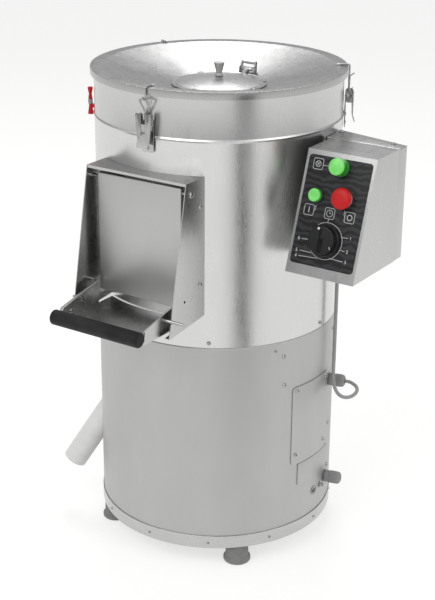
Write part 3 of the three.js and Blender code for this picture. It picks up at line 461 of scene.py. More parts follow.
def moulded(name, colour, roughness, grain=900, depth=0.00012, coat=0.0):
    """moulded plastic with its fine spark-eroded skin and slight shade changes"""
    look = Look(name, Coat_Weight=coat, Coat_Roughness=0.12, Specular_IOR_Level=0.3)
    skin = look.noise(look.place, grain, 3, 0.6)
    shade = look.noise(look.place, 40, 3)
    darker = tuple(c * 0.9 for c in colour)
    look.feed("Base Color", look.blend(look.levels(shade, 0, 1), darker, colour))
    look.feed("Roughness", look.levels(skin, roughness - 0.05, roughness + 0.05))
    look.bump(skin, depth)
    return look.material


def lens(name, colour):
    """a translucent green cap with moulded rings, glowing by its emission: the power lamp's own light on the lamp
    lens, and a painted glow on the start button cap, which is no lamp
    """
    look = Look(name, Coat_Weight=0.4, Coat_Roughness=0.1, Emission_Strength=0.22)
    shade = look.noise(look.place, 120, 2)
    deep = tuple(c * 0.82 for c in colour)
    tone = look.blend(look.levels(shade, 0, 1), deep, colour)
    look.feed("Base Color", tone)
    look.feed("Emission Color", tone)
    look.feed("Roughness", look.levels(shade, 0.28, 0.4))
    look.bump(shade, 0.0002)
    return look.material


def printed_film():
    """black film with low rolling ripples in its relief; its colour is lighter along the ripple bands, a painted
    sheen, and wanders in tone at random
    """
    look = Look("printed_film", Specular_IOR_Level=0.25)
    wander = look.noise(look.scaled(14, 14, 30), 4, 2)
    ripples = look.node("ShaderNodeTexWave", {"bands_direction": "Z"}, {
        "Vector": look.place, "Scale": 32.0, "Distortion": 7.0, "Detail": 2.0,
        "Detail Scale": 1.4})
    skin = look.noise(look.place, 700, 3)
    # painted sheen: the colour is lighter along the ripple bands, mixed with a random wander in tone
    band = look.levels(ripples * 0.7 + wander * 0.3, 0, 1)
    look.feed("Base Color", look.blend(band, (0.012, 0.012, 0.013), (0.032, 0.033, 0.035)))
    look.feed("Roughness", look.levels(skin, 0.42, 0.56))
    look.bump(ripples * 0.5 + skin * 0.2, 0.0002)
    return look.material


SATIN = sheet_steel("satin_sheet", 0.52, 0.28, (70, 70, 4), 0.02)
DOOR_SATIN = sheet_steel("door_sheet", 0.52, 0.42, (70, 70, 4), 0.015)
DRUM_SATIN = sheet_steel("drum_sheet", 0.64, 0.29, (60, 60, 2.5), 0.015, 0.0006)
MATT = sheet_steel("matt_sheet", 0.50, 0.52, (90, 90, 30), 0.02)
CONE = sheet_steel("spun_cone_sheet", 0.44, 0.27, (30, 30, 30), 0.02)
BRIGHT = polished("bright_steel", 0.5, 0.16)
PLATED = polished("zinc_plate", 0.62, 0.32)
CAST = casting("grey_casting", 0.38)
GRIT = bonded_grit()
GREY_RUBBER = rubber("grey_rubber", (0.16, 0.16, 0.16), 0.7)
BLACK_RUBBER = rubber("black_rubber", (0.006, 0.006, 0.006), 0.6)
BLACK_KNOB = moulded("black_knob", (0.008, 0.008, 0.009), 0.42)
GREY_NYLON = moulded("grey_nylon", (0.27, 0.27, 0.27), 0.5, 500)
DARK_RING = moulded("dark_ring", (0.05, 0.05, 0.055), 0.35)
SHEATH = moulded("cable_sheath_skin", (0.30, 0.30, 0.295), 0.5, 300)
WHITE_PIPE = moulded("white_pipe", (0.72, 0.715, 0.71), 0.42, 200)
GREEN = lens("green_lens", (0.15, 0.62, 0.115))
# painted shade: a darker, non-glowing copy of the lamp green for the lamp's sides, below its glowing top
GREEN_SHADED_SIDE = moulded("green_shaded_side", (0.03, 0.26, 0.03), 0.3, 500, coat=0.3)
RED = moulded("red_cap", (0.52, 0.006, 0.007), 0.4, 700)
FILM = printed_film()
INK = moulded("white_ink", (0.62, 0.63, 0.63), 0.5)

CAD_LOOKS = {
    "satin_steel": SATIN, "matt_steel": MATT, "bright_steel": BRIGHT, "cast_metal": CAST,
    "plated_steel": PLATED, "grit": GRIT, "grey_rubber": GREY_RUBBER,
    "black_rubber": BLACK_RUBBER, "black_plastic": BLACK_KNOB, "grey_plastic": GREY_NYLON,
    "cable_sheath": SHEATH, "white_plastic": WHITE_PIPE, "green_plastic": GREEN,
    "red_plastic": RED, "label_film": FILM,
}
for row in frame["record"]["subparts"]:
    mesh = frame["nodes"][row["node"]].data
    mesh.materials.clear()
    mesh.materials.append(CAD_LOOKS[row["material_slot"]])

# ---- camera and cable ------------------------------------------------------------------------

SIGHT_LINE = 33.6              # degrees round from the hatch towards the control box
eye = bpy.data.cameras.new("camera")
eye.lens = 83.02
camera = bpy.data.objects.new("camera", eye)
bpy.context.scene.collection.objects.link(camera)
camera.matrix_world = (Matrix.Translation((1.2266, -1.84465, 1.3267))
                       @ Matrix.Rotation(radians(SIGHT_LINE), 4, "Z")
                       @ Matrix.Rotation(radians(68.445), 4, "X")
                       @ Matrix.Rotation(radians(0.4176), 4, "Z"))
bpy.context.scene.camera = camera

# the connecting cable's route from the box gland to the upper gland, from the drum's axis
CABLE_ROUTE = [
    (0.2203, 0.0370, 0.5487), (0.2203, 0.0370, 0.5087), (0.2203, 0.0370, 0.4587),
    (0.2203, 0.0370, 0.4087), (0.2203, 0.0370, 0.3687), (0.2207, 0.0363, 0.3437),
    (0.2215, 0.0345, 0.3268), (0.2231, 0.0321, 0.3140), (0.2256, 0.0297, 0.3045),
    (0.2304, 0.0269, 0.2952), (0.2388, 0.0251, 0.2870), (0.2489, 0.0265, 0.2833),
    (0.2579, 0.0325, 0.2842), (0.2620, 0.0420, 0.2873), (0.2605, 0.0523, 0.2904),
    (0.2537, 0.0604, 0.2927), (0.2437, 0.0646, 0.2943), (0.2368, 0.0657, 0.2950),
    (0.2302, 0.0638, 0.2950),
]
CABLE_R = 3.15


def smooth_route(points, steps):
    """points joined by a centripetal spline, which passes through each of them"""
    first, last = points[0] * 2 - points[1], points[-1] * 2 - points[-2]
    knots = [first, *points, last]
    line = []
    for a, b, c, d in zip(knots, knots[1:], knots[2:], knots[3:]):
        ta = 0.0
        tb = ta + (b - a).length ** 0.5
        tc = tb + (c - b).length ** 0.5
        td = tc + (d - c).length ** 0.5
        for step in range(steps):
            t = tb + (tc - tb) * step / steps
            ab = a * ((tb - t) / (tb - ta)) + b * ((t - ta) / (tb - ta))
            bc = b * ((tc - t) / (tc - tb)) + c * ((t - tb) / (tc - tb))
            cd = c * ((td - t) / (td - tc)) + d * ((t - tc) / (td - tc))
            abc = ab * ((tc - t) / (tc - ta)) + bc * ((t - ta) / (tc - ta))
            bcd = bc * ((td - t) / (td - tb)) + cd * ((t - tb) / (td - tb))
            line.append(abc * ((tc - t) / (tc - tb)) + bcd * ((t - tb) / (tc - tb)))
    return line + [points[-1]]


def connecting_cable():
    route = smooth_route([drum @ Vector(p) for p in CABLE_ROUTE], 5)
    length = sum((b - a).length for a, b in zip(route, route[1:]))
    piece = bar("cable", [p / MM for p in route], CABLE_R, sides=5)
    placed(piece, "cable", Matrix.Identity(4), SHEATH, "root", "cable_sheath",
           "connecting_cable")


connecting_cable()

# ---- screws ----------------------------------------------------------------------------------


def dome_screw(radius=3.6, height=2.3):
    """a low dome head with a socket, standing along x on x = 0"""
    profile = [(0, height - 1.2), (radius * 0.42, height - 1.2), (radius * 0.46, height),
               (radius * 0.78, height * 0.82), (radius, height * 0.3), (radius, 0), (0, 0)]
    return laid(turned("screw", profile, 20), Matrix.Rotation(pi / 2, 4, "Y"))


def screws_on_drum(name, places, sink=0.0, radius=3.6, body="root"):
    """dome screws at (azimuth, height, distance from the axis)"""
    pattern = dome_screw(radius)
    heads = []
    for azimuth, z, r in places:
        turn = Matrix.Rotation(radians(azimuth - 90), 4, "Z")
        heads.append(laid(copied(pattern), turn @ Matrix.Translation(
            ((r - sink) * MM, 0, z * MM))))
    bpy.data.objects.remove(pattern)
    return placed(joined(*heads), name, drum, BRIGHT, body, "bright_steel")


# ---- base, feet and shells -------------------------------------------------------------------


def base_and_feet():
    top = highest("base_pan").z
    profile = rounded([(0, BAND_LOW), (BAND_R, BAND_LOW), (BAND_R, top), (BAND_R - SHEET, top),
                       (BAND_R - SHEET, BAND_LOW + 2), (0, BAND_LOW + 2)], 1.6, 3, closed=False)
    placed(turned("base", profile, FACETS), "base_band", drum, SATIN, "root", "satin_steel",
           "base_pan")
    for name in ("foot_front_right", "foot_back_right", "foot_back_left", "foot_front_left"):
        centre, top = middle(name), highest(name).z
        outline = [(0, 0.0), (22.5, 0), (24, 2), (24, 7), (20.5, 10), (19.5, top), (0, top)]
        foot = turned("foot", rounded(outline, 1.2, 3, closed=False), 40)
        placed(foot, name + "_pad", Matrix.Translation((centre.x * MM, centre.y * MM, 0)),
               GREY_RUBBER, "root", "grey_rubber", name)
    places = [(a, BAND_LOW + 11, BAND_R - 0.4)
              for a in (0, 30, 60, -30, -60, 90, -90, 120, 150, -120, -150, 180)]
    screws_on_drum("band_screws", places, radius=2.6)


def curved_cover(node, azimuth, corner):
    """a thin plate wrapped round the drum, with rounded corners and eased edges"""
    low, high = lowest(node).z, highest(node).z
    width = {"service_cover": 106, "supply_cover": 98}[node]
    inner = DRUM_R + GAP + 0.1
    wall = turned("wall", [(inner, low - 5), (inner + SHEET, low - 5), (inner + SHEET, high + 5),
                           (inner, high + 5)], FACETS, ring=True)
    outline = [(x, y + (low + high) / 2) for x, y in rectangle(width, high - low, corner, 5)]
    cutter = laid(plate("cutter", outline, 100, 250), ACROSS)
    laid(cutter, Matrix.Rotation(radians(azimuth - 90), 4, "Z"))
    cut(wall, cutter, operation="INTERSECT")
    eased(wall, 0.35)
    return placed(wall, node + "_plate", drum, MATT, "root", "matt_steel", node)


def lower_shell():
    bottom, top, inside = lowest("lower_shell").z, highest("lower_shell").z, DRUM_R - SHEET
    wall = turned("lower", [(inside, bottom), (DRUM_R, bottom), (DRUM_R, top - 1.2),
                            (DRUM_R - 0.8, top), (inside, top)], FACETS, ring=True)
    drain = laid(turned("hole", [(0, -60), (23, -60), (23, 60), (0, 60)], 40),
                 around(-60).to_3x3().to_4x4() @ Matrix.Translation((DRUM_R * MM, 0,
                                                                     180 * MM))
                 @ Matrix.Rotation(radians(90 + DRAIN_SLOPE), 4, "Y"))
    cut(wall, drain)
    placed(wall, "lower_drum", drum, MATT, "root", "matt_steel", "lower_shell")
    curved_cover("service_cover", 86, 8)
    curved_cover("supply_cover", 89.5, 3)


def upper_shell():
    inside = DRUM_R - SHEET
    bead = [(DRUM_R + 1.8 * cos(pi / 2 * t / 4) ** 2, BEAD_Z + 3.2 * t / 4) for t in range(-4, 5)]
    groove = [(r - SHEET, z) for r, z in reversed(bead)]
    profile = [(inside, SEAM), (DRUM_R - 0.6, SEAM), (DRUM_R, SEAM + 0.8), *bead,
               (DRUM_R, DRUM_TOP), (inside, DRUM_TOP), *groove]
    wall = turned("upper", profile, FACETS, ring=True)
    low, high, half = SEAM + 86, SEAM + 265, 80
    cut(wall, block("mouth", (PLATE - half, -250, low + PLATE), (half - PLATE, -100,
                                                                  high - PLATE)))
    placed(wall, "upper_drum", drum, DRUM_SATIN, "root", "satin_steel", "upper_shell")
    front = lowest("upper_shell").y - AXIS.y
    collar = block("collar", (-half, front, low), (half, -150, high))
    cut(collar, block("mouth", (PLATE - half, front - 5, low + PLATE),
                      (half - PLATE, -100, high - PLATE)),
        turned("drum", [(0, low - 5), (DRUM_R + 0.1, low - 5), (DRUM_R + 0.1, high + 5),
                        (0, high + 5)], FACETS))
    eased(collar, 0.4)
    placed(collar, "discharge_collar", drum, SATIN, "root", "satin_steel")


def shell_screws():
    below = SEAM - 415 + 35
    places = [(29.8, 389), (90.2, 389), (65.9, 352), (66.7, 299), (105.6, 174), (105.9, 89),
              (109.7, 352), (111.7, 299), (-29.8, 389), (-90, 389), (150, 389), (-150, 389)]
    screws_on_drum("shell_screws", [(a, z + below, DRUM_R) for a, z in places])
    covers = [(74.1, 281), (97.6, 280), (74.1, 158), (97.6, 155)]
    screws_on_drum("cover_screws", [(a, z + below, DRUM_R + GAP + SHEET) for a, z in covers])
    screws_on_drum("small_rivet", [(61.4, 365 + below, DRUM_R)], radius=2.2)


def earth_point():
    """a bolt with its washer, and the earth sign as a raised mark beside it"""
    z = SEAM - 415 + 100
    head = laid(plate("head", [(5 * cos(pi / 3 * i), 5 * sin(pi / 3 * i)) for i in range(6)],
                      1, 5), Matrix.Rotation(pi / 2, 4, "Y"))
    washer = laid(turned("washer", [(0, 0), (6.4, 0), (6.4, 1.1), (0, 1.1)], 24),
                  Matrix.Rotation(pi / 2, 4, "Y"))
    tip = laid(turned("tip", [(0, 4), (2.6, 4), (2.6, 8.2), (2, 9), (0, 9)], 20),
               Matrix.Rotation(pi / 2, 4, "Y"))
    eased(head, 0.5)
    bolt = joined(head, washer, tip)
    placed(bolt, "earth_bolt", around(96.4) @ Matrix.Translation((DRUM_R * MM, 0, z * MM)),
           BRIGHT, "root", "bright_steel")
    strokes = [[(0, 6), (0, 0)], [(-5, 0), (5, 0)], [(-3.2, -2), (3.2, -2)], [(-1.5, -4),
                                                                         (1.5, -4)]]
    lines = [bar("line", [(0, x, y) for x, y in stroke], 0.55) for stroke in strokes]
    circle = bar("circle", [(0, 8 * cos(pi * i / 16), 8 * sin(pi * i / 16) + 0.5)
                            for i in range(32)], 0.4, closed=True)
    placed(joined(*lines, circle), "earth_sign",
           around(89.5) @ Matrix.Translation(((DRUM_R + 0.2) * MM, 0, z * MM)), DARK_RING,
           "root", "black_plastic")


# ---- drain pipe and glands -------------------------------------------------------------------

DRAIN_SLOPE = 58
DRAIN_OFF = 138
DRAIN_PAST = 106


def drain_pipe():
    exit_z = SEAM - 235
    fall = radians(DRAIN_SLOPE)
    elbow = (DRAIN_OFF, 0, exit_z + (DRUM_R - DRAIN_OFF) * tan(fall))
    end = (DRUM_R + DRAIN_PAST * cos(fall), 0, exit_z - DRAIN_PAST * sin(fall))
    route = rounded([(DRAIN_OFF, 0, highest("drain_pipe").z), elbow, end], 52, 14, closed=False)
    pipe = wire("pipe", route, 22, sides=10)
    pipe.data.use_fill_caps = False
    pipe = made_mesh(pipe)
    settled(pipe, "SOLIDIFY", thickness=3 * MM, offset=-1, use_even_offset=True)
    eased(pipe, 0.5, 2, 60)
    placed(pipe, "waste_pipe", around(-60), WHITE_PIPE, "root", "white_plastic", "drain_pipe")


def gland(name, azimuth, z, end):
    """a cable gland: hexagon against the wall, sealing nut with a rounded nose"""
    hexagon = plate("hexagon", [(12.4 * cos(pi / 3 * i), 12.4 * sin(pi / 3 * i))
                                for i in range(6)], DRUM_R + GAP, DRUM_R + 8.5)
    eased(hexagon, 0.7)
    profile = [(0, DRUM_R + 8), (10.6, DRUM_R + 8), (10.6, DRUM_R + 9.6), (11.3, DRUM_R + 10.4),
               (11.2, end - 6), (10.6, end - 3), (8.8, end - 1), (7, end), (3.4, end),
               (3.3, end - 3), (0, end - 3)]
    nut = turned("nut", rounded(profile, 0.8, 2, closed=False), 36)
    ribs = []
    for i in range(18):
        turn = pi * i / 9
        ribs.append(bar("rib", [(11.1 * cos(turn), 11.1 * sin(turn), DRUM_R + 12),
                                (11.0 * cos(turn), 11.0 * sin(turn), end - 7)], 0.45, sides=1))
    body = laid(joined(hexagon, nut, *ribs), Matrix.Rotation(pi / 2, 4, "Y"))
    place = around(azimuth) @ Matrix.Translation((0, 0, z * MM))
    placed(body, name + "_body", place, GREY_NYLON, "root", "grey_plastic", name)


def glands():
    gland("upper_gland", 105.5, SEAM - 120, DRUM_R + 28.5)
    gland("supply_gland", 103.5, SEAM - 310, DRUM_R + 30)
    top = highest("box_gland").z
    nut = turned("nut", rounded([(0, top - 12.7), (5.4, top - 12.7), (7.4, top - 10.7),
                                 (8, top - 4.7), (0, top - 4.7)], 0.8, 2, closed=False), 32)
    hexagon = eased(plate("hexagon", [(9.5 * cos(pi / 3 * i), 9.5 * sin(pi / 3 * i))
                                      for i in range(6)], top - 4.8, top), 0.6)
    centre = middle("box_gland")
    placed(joined(hexagon, nut), "box_gland_body",
           Matrix.Translation((centre.x * MM, centre.y * MM, 0)), GREY_NYLON, "root",
           "grey_plastic", "box_gland")


# ---- hopper and feed lid ---------------------------------------------------------------------

THROAT_R = 84
LID_R = 81
RIM_FLAT = 20


def hopper():
    throat = RIM_TOP - 32.6
    inner, lip = RIM_R - RIM_FLAT, RIM_TOP - 11.5
    collar = 75
    profile = rounded([
        (RIM_R - SHEET, lip), (RIM_R, lip), (RIM_R, RIM_TOP), (inner, RIM_TOP),
        (THROAT_R, throat), (collar - SHEET, throat), (collar - SHEET, THROAT_LOW),
        (collar, THROAT_LOW), (collar, throat - SHEET), (THROAT_R, throat - SHEET),
        (inner, RIM_TOP - SHEET), (RIM_R - SHEET, RIM_TOP - SHEET)], 1.1, 3)
    placed(turned("funnel", profile, FACETS, ring=True), "hopper_funnel", drum, CONE, "root",
           "satin_steel", "hopper")


def feed_lid():
    low = lowest("feed_lid").z
    dome_r, high = LID_R - 7, low + 2.6
    rise = 9
    dome = [(dome_r * t / 9, high + rise * (1 - (t / 9) ** 2)) for t in range(10)]
    under = [(r, z - SHEET) for r, z in reversed(dome[:-1])]
    profile = [*dome, (dome_r + 0.6, high - 0.9), (dome_r + 2.2, high - 1.1),
               (LID_R - 2, high - 0.7), (LID_R - 0.9, high), (LID_R - 0.1, high - 0.6),
               (LID_R, low + 0.8), (LID_R - 0.9, low), (dome_r, low), *under]
    lid = turned("lid", profile, 96)
    pin = middle("lid_hinge_pin") - AXIS
    hinge_y, hinge_z = pin.y, middle("lid_hinge_pin").z
    barrel = laid(turned("barrel", rounded([(0, -10), (4.2, -10), (4.2, 10), (0, 10)], 0.6, 2,
                                           closed=False), 24),
                  Matrix.Translation((0, hinge_y * MM, hinge_z * MM))
                  @ Matrix.Rotation(pi / 2, 4, "Y"))
    lug = [(dome_r, low + 0.3), (LID_R, low + 0.3), (hinge_y - 1, hinge_z - 4.2),
           (hinge_y, hinge_z), (hinge_y - 3, hinge_z + 2.6), (dome_r, high + 0.4)]
    tab = laid(plate("tab", lug, -4, 4), ACROSS)
    eased(tab, 0.4)
    clips = []
    for azimuth in (1.6, 81.6, 130.6, -122.4):
        clip = block("clip", (LID_R - 7.5, -4.5, high - 0.9), (LID_R - 0.4, 4.5, high + 0.9))
        clips.append(laid(eased(clip, 0.5), Matrix.Rotation(radians(azimuth - 90), 4, "Z")))
    placed(joined(lid, barrel, tab), "feed_cover", drum, SATIN, "lid", "satin_steel",
           "feed_lid")
    placed(joined(*clips), "cover_clips", drum, BRIGHT, "lid", "bright_steel")
    base = lowest("lid_knob").z
    knob = turned("knob", rounded([
        (0, base), (7, base + 0.3), (6.7, base + 3.2), (4.6, base + 4.6), (9.2, base + 22.4),
        (9.2, base + 23.4), (7.4, base + 23.6), (0, base + 23.2)], 0.8, 3, closed=False), 48)
    placed(knob, "lid_grip", drum, MATT, "lid", "matt_steel", "lid_knob")


def lid_hinge():
    centre = middle("lid_hinge_pin")
    y, z = centre.y - AXIS.y, centre.z
    rise = 32.6 / (RIM_R - RIM_FLAT - THROAT_R)
    bar_y, bar_z, end = y + 4.6, z + 9.8, y + 7.2
    rest = [RIM_TOP - 32.6 + (at - THROAT_R) * rise + 0.6 for at in (y - 4.5, end)]
    ear = rounded([(y - 4.5, rest[0]), (end, rest[1]), (end, z + 13), (bar_y - 2.6, z + 13),
                   (y, z + 5), (y - 4.5, z + 2)], 1.5, 3)
    ears = [eased(laid(plate("ear", ear, a, b), ACROSS), 0.3) for a, b in ((13, 15), (-15, -13))]
    strip = [(y - 4.5, rest[0]), (end, rest[1]), (end, rest[1] + 1.5),
             (y - 4.5, rest[0] + 1.5)]
    foot = laid(plate("foot", strip, -13.5, 13.5), ACROSS)
    stop = bar("stop", [(-15, bar_y, bar_z), (15, bar_y, bar_z)], 2.5, sides=5)
    placed(joined(*ears, foot, stop), "hinge_bracket", drum, BRIGHT, "root",
           "bright_steel", "lid_hinge_bracket")
    pin = turned("pin", rounded([(0, -16.5), (2.5, -16.5), (2.5, 16.5), (0, 16.5)], 0.6, 2,
                                closed=False), 24)
    placed(laid(pin, Matrix.Rotation(pi / 2, 4, "Y")), "hinge_pin",
           drum @ Matrix.Translation((0, y * MM, z * MM)), BRIGHT, "root", "bright_steel",
           "lid_hinge_pin")


# ---- toggle latches and safety key -----------------------------------------------------------

LATCHES = {"front": 2, "right": 122, "left": -118}


def latch(side, azimuth):
    place = around(azimuth)
    x, z = DRUM_R + 8.3, RIM_TOP - 44.6
    wall = DRUM_R + 1.8 + GAP
    pin_z = z - 12

    outline = rounded([(-11, z - 59), (11, z - 59), (11, z - 7), (-11, z - 7)], 2.5, 3)
    back = eased(laid(plate("back", outline, wall, wall + PLATE), ACROSS), 0.3)
    ear = rounded([(wall + 1, z - 19), (x - 3.2, z - 12), (x + 1, z - 5), (x + 4.9, z - 1),
                   (x + 3.5, z + 3.5), (x, z + 5), (x - 4.6, z + 2), (wall + 1, z - 2.5)], 1, 2)
    ears = [eased(laid(plate("ear", ear, -b, -a), ALONG), 0.25) for a, b in ((8.2, 9.6),
                                                                  (-9.6, -8.2))]
    rivets = [laid(dome_screw(3.2, 1.8), Matrix.Translation(((wall + PLATE) * MM, 0, h * MM)))
              for h in (z - 52, z - 38)]
    placed(joined(back, *ears, *rivets), f"latch_{side}_plate", place, BRIGHT, "root",
           "bright_steel", f"latch_base_{side}")

    tip = z - 37.4
    face = rounded([(-14.5, z + 5), (-14.5, z - 12), (-11.5, tip), (-10.2, z - 49.5),
                    (10.2, z - 49.5), (11.5, tip), (14.5, z - 12), (14.5, z + 5), (4.4, z + 5),
                    (4.4, pin_z - 12), (-4.4, pin_z - 12), (-4.4, z + 5)], 1.4, 2)
    lever = laid(plate("lever", face, x + 6, x + 7.5), ACROSS)
    only(lever)
    bpy.ops.object.mode_set(mode="EDIT")
    pick(lever, "verts", lambda v: v.co.z < (z - 44) * MM)
    bpy.ops.transform.translate(value=(4 * MM, 0, 0))
    bpy.ops.object.mode_set(mode="OBJECT")
    eased(lever, 0.35)
    lug = rounded([(x - 4, pin_z - 3), (x - 1, pin_z - 4), (x + 6.6, pin_z - 4), (x + 6.6, z + 4),
                   (x - 2, z + 4), (x - 4, z + 2)], 1.2, 2)
    lugs = [eased(laid(plate("lug", lug, -b, -a), ALONG), 0.25) for a, b in ((10.4, 11.8),
                                                                   (-11.8, -10.4))]
    folds = [bar("fold", [(x + 7.2, s * 12.2, z + 3), (x + 7.2, s * 12.2, z - 14),
                          (x + 7.2, s * 9.4, tip + 1)], 0.9, sides=3) for s in (1, -1)]
    pins = [bar("pin", [(x, s * 7.4, z), (x, s * 12.6, z)], 1.6, sides=4) for s in (1, -1)]
    placed(joined(lever, *lugs, *folds, *pins), f"latch_{side}_lever", place, BRIGHT,
           f"lever_{side}", "bright_steel", f"latch_lever_{side}")

    low, bar_z = z + 6, RIM_TOP - 18.8
    triangle = rounded([(x, 0, low), (x, 12.3, bar_z), (x, -12.3, bar_z)], 2.2, 4)
    loop = bar("loop", triangle, 1.5, closed=True, sides=4)
    stem = bar("stem", [(x, 0, pin_z), (x, 0, low + 3)], 1.9, sides=4)
    cross = bar("cross", [(x, -12.3, pin_z), (x, 12.3, pin_z)], 1.6, sides=4)
    over = RIM_TOP + 1.9
    hook = bar("hook", rounded([(x, 0, bar_z - 1), (x + 0.2, 0, over), (x - 16, 0, over),
                                (x - 20.8, 2, over)], 3.2, 5, closed=False), 1.5, sides=4)
    spur = bar("spur", [(x, 0, bar_z), (x + 8.4, 0, bar_z + 6.6)], 1.1, sides=3)
    placed(joined(loop, stem, cross, hook, spur), f"latch_{side}_hook", place, BRIGHT,
           f"bail_{side}", "bright_steel", f"latch_bail_{side}")


def safety_key():
    place = around(-56)
    x, low = DRUM_R + 1.8 + GAP + 5, BEAD_Z - 8
    spot = place @ Matrix.Translation((x * MM, 0, 0))
    flare = turned("flare", rounded([(0, low), (4.8, low), (4.3, low + 4), (2.6, low + 16),
                                     (2.6, low + 18), (0, low + 18)], 0.8, 3, closed=False), 36)
    bracket = eased(block("bracket", (DRUM_R + GAP - x, -4.2, BEAD_Z + 3.3),
                          (-1.8, 4.2, low + 17)), 0.5)
    placed(joined(flare, bracket), "key_socket", spot, RED, "root", "red_plastic",
           "interlock_socket")
    collar = turned("collar", rounded([(1.9, low + 17.6), (3.9, low + 17.6), (3.9, low + 25.8),
                                       (1.9, low + 25.8)], 0.7, 3), 36, ring=True)
    placed(collar, "key_collar", spot, GREY_NYLON, "root", "grey_plastic")
    seat = low + 26 + GAP
    key = turned("key", rounded([(0, seat - 4), (1.5, seat - 4), (1.5, seat), (3.7, seat),
                                 (2.5, seat + 8.5), (4.5, seat + 18), (4.2, seat + 19.8),
                                 (0, seat + 19.8)], 0.6, 3, closed=False), 36)
    placed(key, "key_grip", spot, RED, "safety_key", "red_plastic", "interlock_key")


# ---- discharge hatch, door and tray ----------------------------------------------------------

HATCH_HALF = 98


def hatch_housing():
    top, low = highest("hatch_housing").z, SEAM + 48.9
    top_out, low_out = -(DRUM_R + 27), -(DRUM_R + 73.9)
    back, back_low = -150, SEAM + 63.3
    side = [(back, back_low), (back, top), (top_out, top), (low_out, low)]
    half = HATCH_HALF
    plates = [laid(plate("side", side, a, b), ACROSS)
              for a, b in ((half - PLATE, half), (-half, PLATE - half))]
    roof = block("roof", (-half, top_out, top - PLATE), (half, back, top))
    brow = block("brow", (-half, top_out, top - 4.5), (half, top_out + PLATE, top - 0.5))
    hems = []
    for a, b in ((half - 9, half - 0.5), (0.5 - half, 9 - half)):
        hem = [(back, back_low), (low_out, low), (low_out, low + PLATE), (back, back_low + PLATE)]
        hems.append(laid(plate("hem", hem, a, b), ACROSS))
    housing = plates[0]
    cut(housing, plates[1], roof, brow, *hems, operation="UNION")
    pivot = middle("tray_pivot_right") - AXIS
    pivot_y, pivot_z = pivot.y, middle("tray_pivot_right").z
    slots = [block("slot", (x0, pivot_y - 60, pivot_z - 2.9), (x1, pivot_y, pivot_z + 2.9))
             for x0, x1 in ((-half - 5, 12 - half), (half - 12, half + 5))]
    shell = turned("drum", [(0, SEAM), (DRUM_R + 0.4, SEAM), (DRUM_R + 0.4, DRUM_TOP),
                            (0, DRUM_TOP)], FACETS)
    cut(housing, shell, *slots)
    eased(housing, 0.6, 3, 40)
    placed(housing, "hatch_frame", drum, SATIN, "root", "satin_steel", "hatch_housing")

    heads = []
    for x, sign in ((half, 1), (-half, -1)):
        for y, z in ((-199, 663.4), (-199, 531.7)):
            head = laid(dome_screw(4.2, 2.6), Matrix.Translation((x * MM, y * MM, z * MM))
                        @ Matrix.Rotation(0 if sign > 0 else pi, 4, "Z"))
            heads.append(head)
    for sign in (1, -1):
        heads.append(bar("stop", [(sign * 84, -242, 515), (sign * (half + 0), -242, 515)], 2.4))
    placed(joined(*heads), "hatch_screws", drum, BRIGHT, "root", "bright_steel")

    pin_y, pin_z = middle("door_pin").y - AXIS.y, middle("door_pin").z
    profile = rounded([(0, -half - 5), (2.8, -half - 5), (3, half + GAP), (5.4, half + GAP),
                       (4.6, half + 2.8), (0, half + 3.7)], 0.6, 2, closed=False)
    pin = laid(turned("pin", profile, 28), Matrix.Rotation(pi / 2, 4, "Y"))
    placed(pin, "door_hinge_pin", drum @ Matrix.Translation((0, pin_y * MM, pin_z * MM)), BRIGHT,
           "root", "bright_steel", "door_pin")


def hatch_door():
    low, high = lowest("hatch_door"), highest("hatch_door")
    face, half = low.y - AXIS.y, (high.x - low.x) / 2
    door = block("door", (-half, face, low.z), (half, face + 11, high.z))
    eased(door, 2.2, 4)
    only(door)
    bpy.ops.object.mode_set(mode="EDIT")
    pick(door, "faces", lambda f: f.calc_center_median().y > (face + 10.2) * MM)
    bpy.ops.mesh.delete(type="FACE")
    bpy.ops.object.mode_set(mode="OBJECT")
    settled(door, "SOLIDIFY", thickness=SHEET * MM, offset=-1, use_even_offset=True)
    under = block("under", (2 - half, face + 6, low.z - 2), (half - 2, face + 20, low.z + 3))
    cut(door, under)
    placed(door, "door_panel", drum, DOOR_SATIN, "door", "satin_steel", "hatch_door")


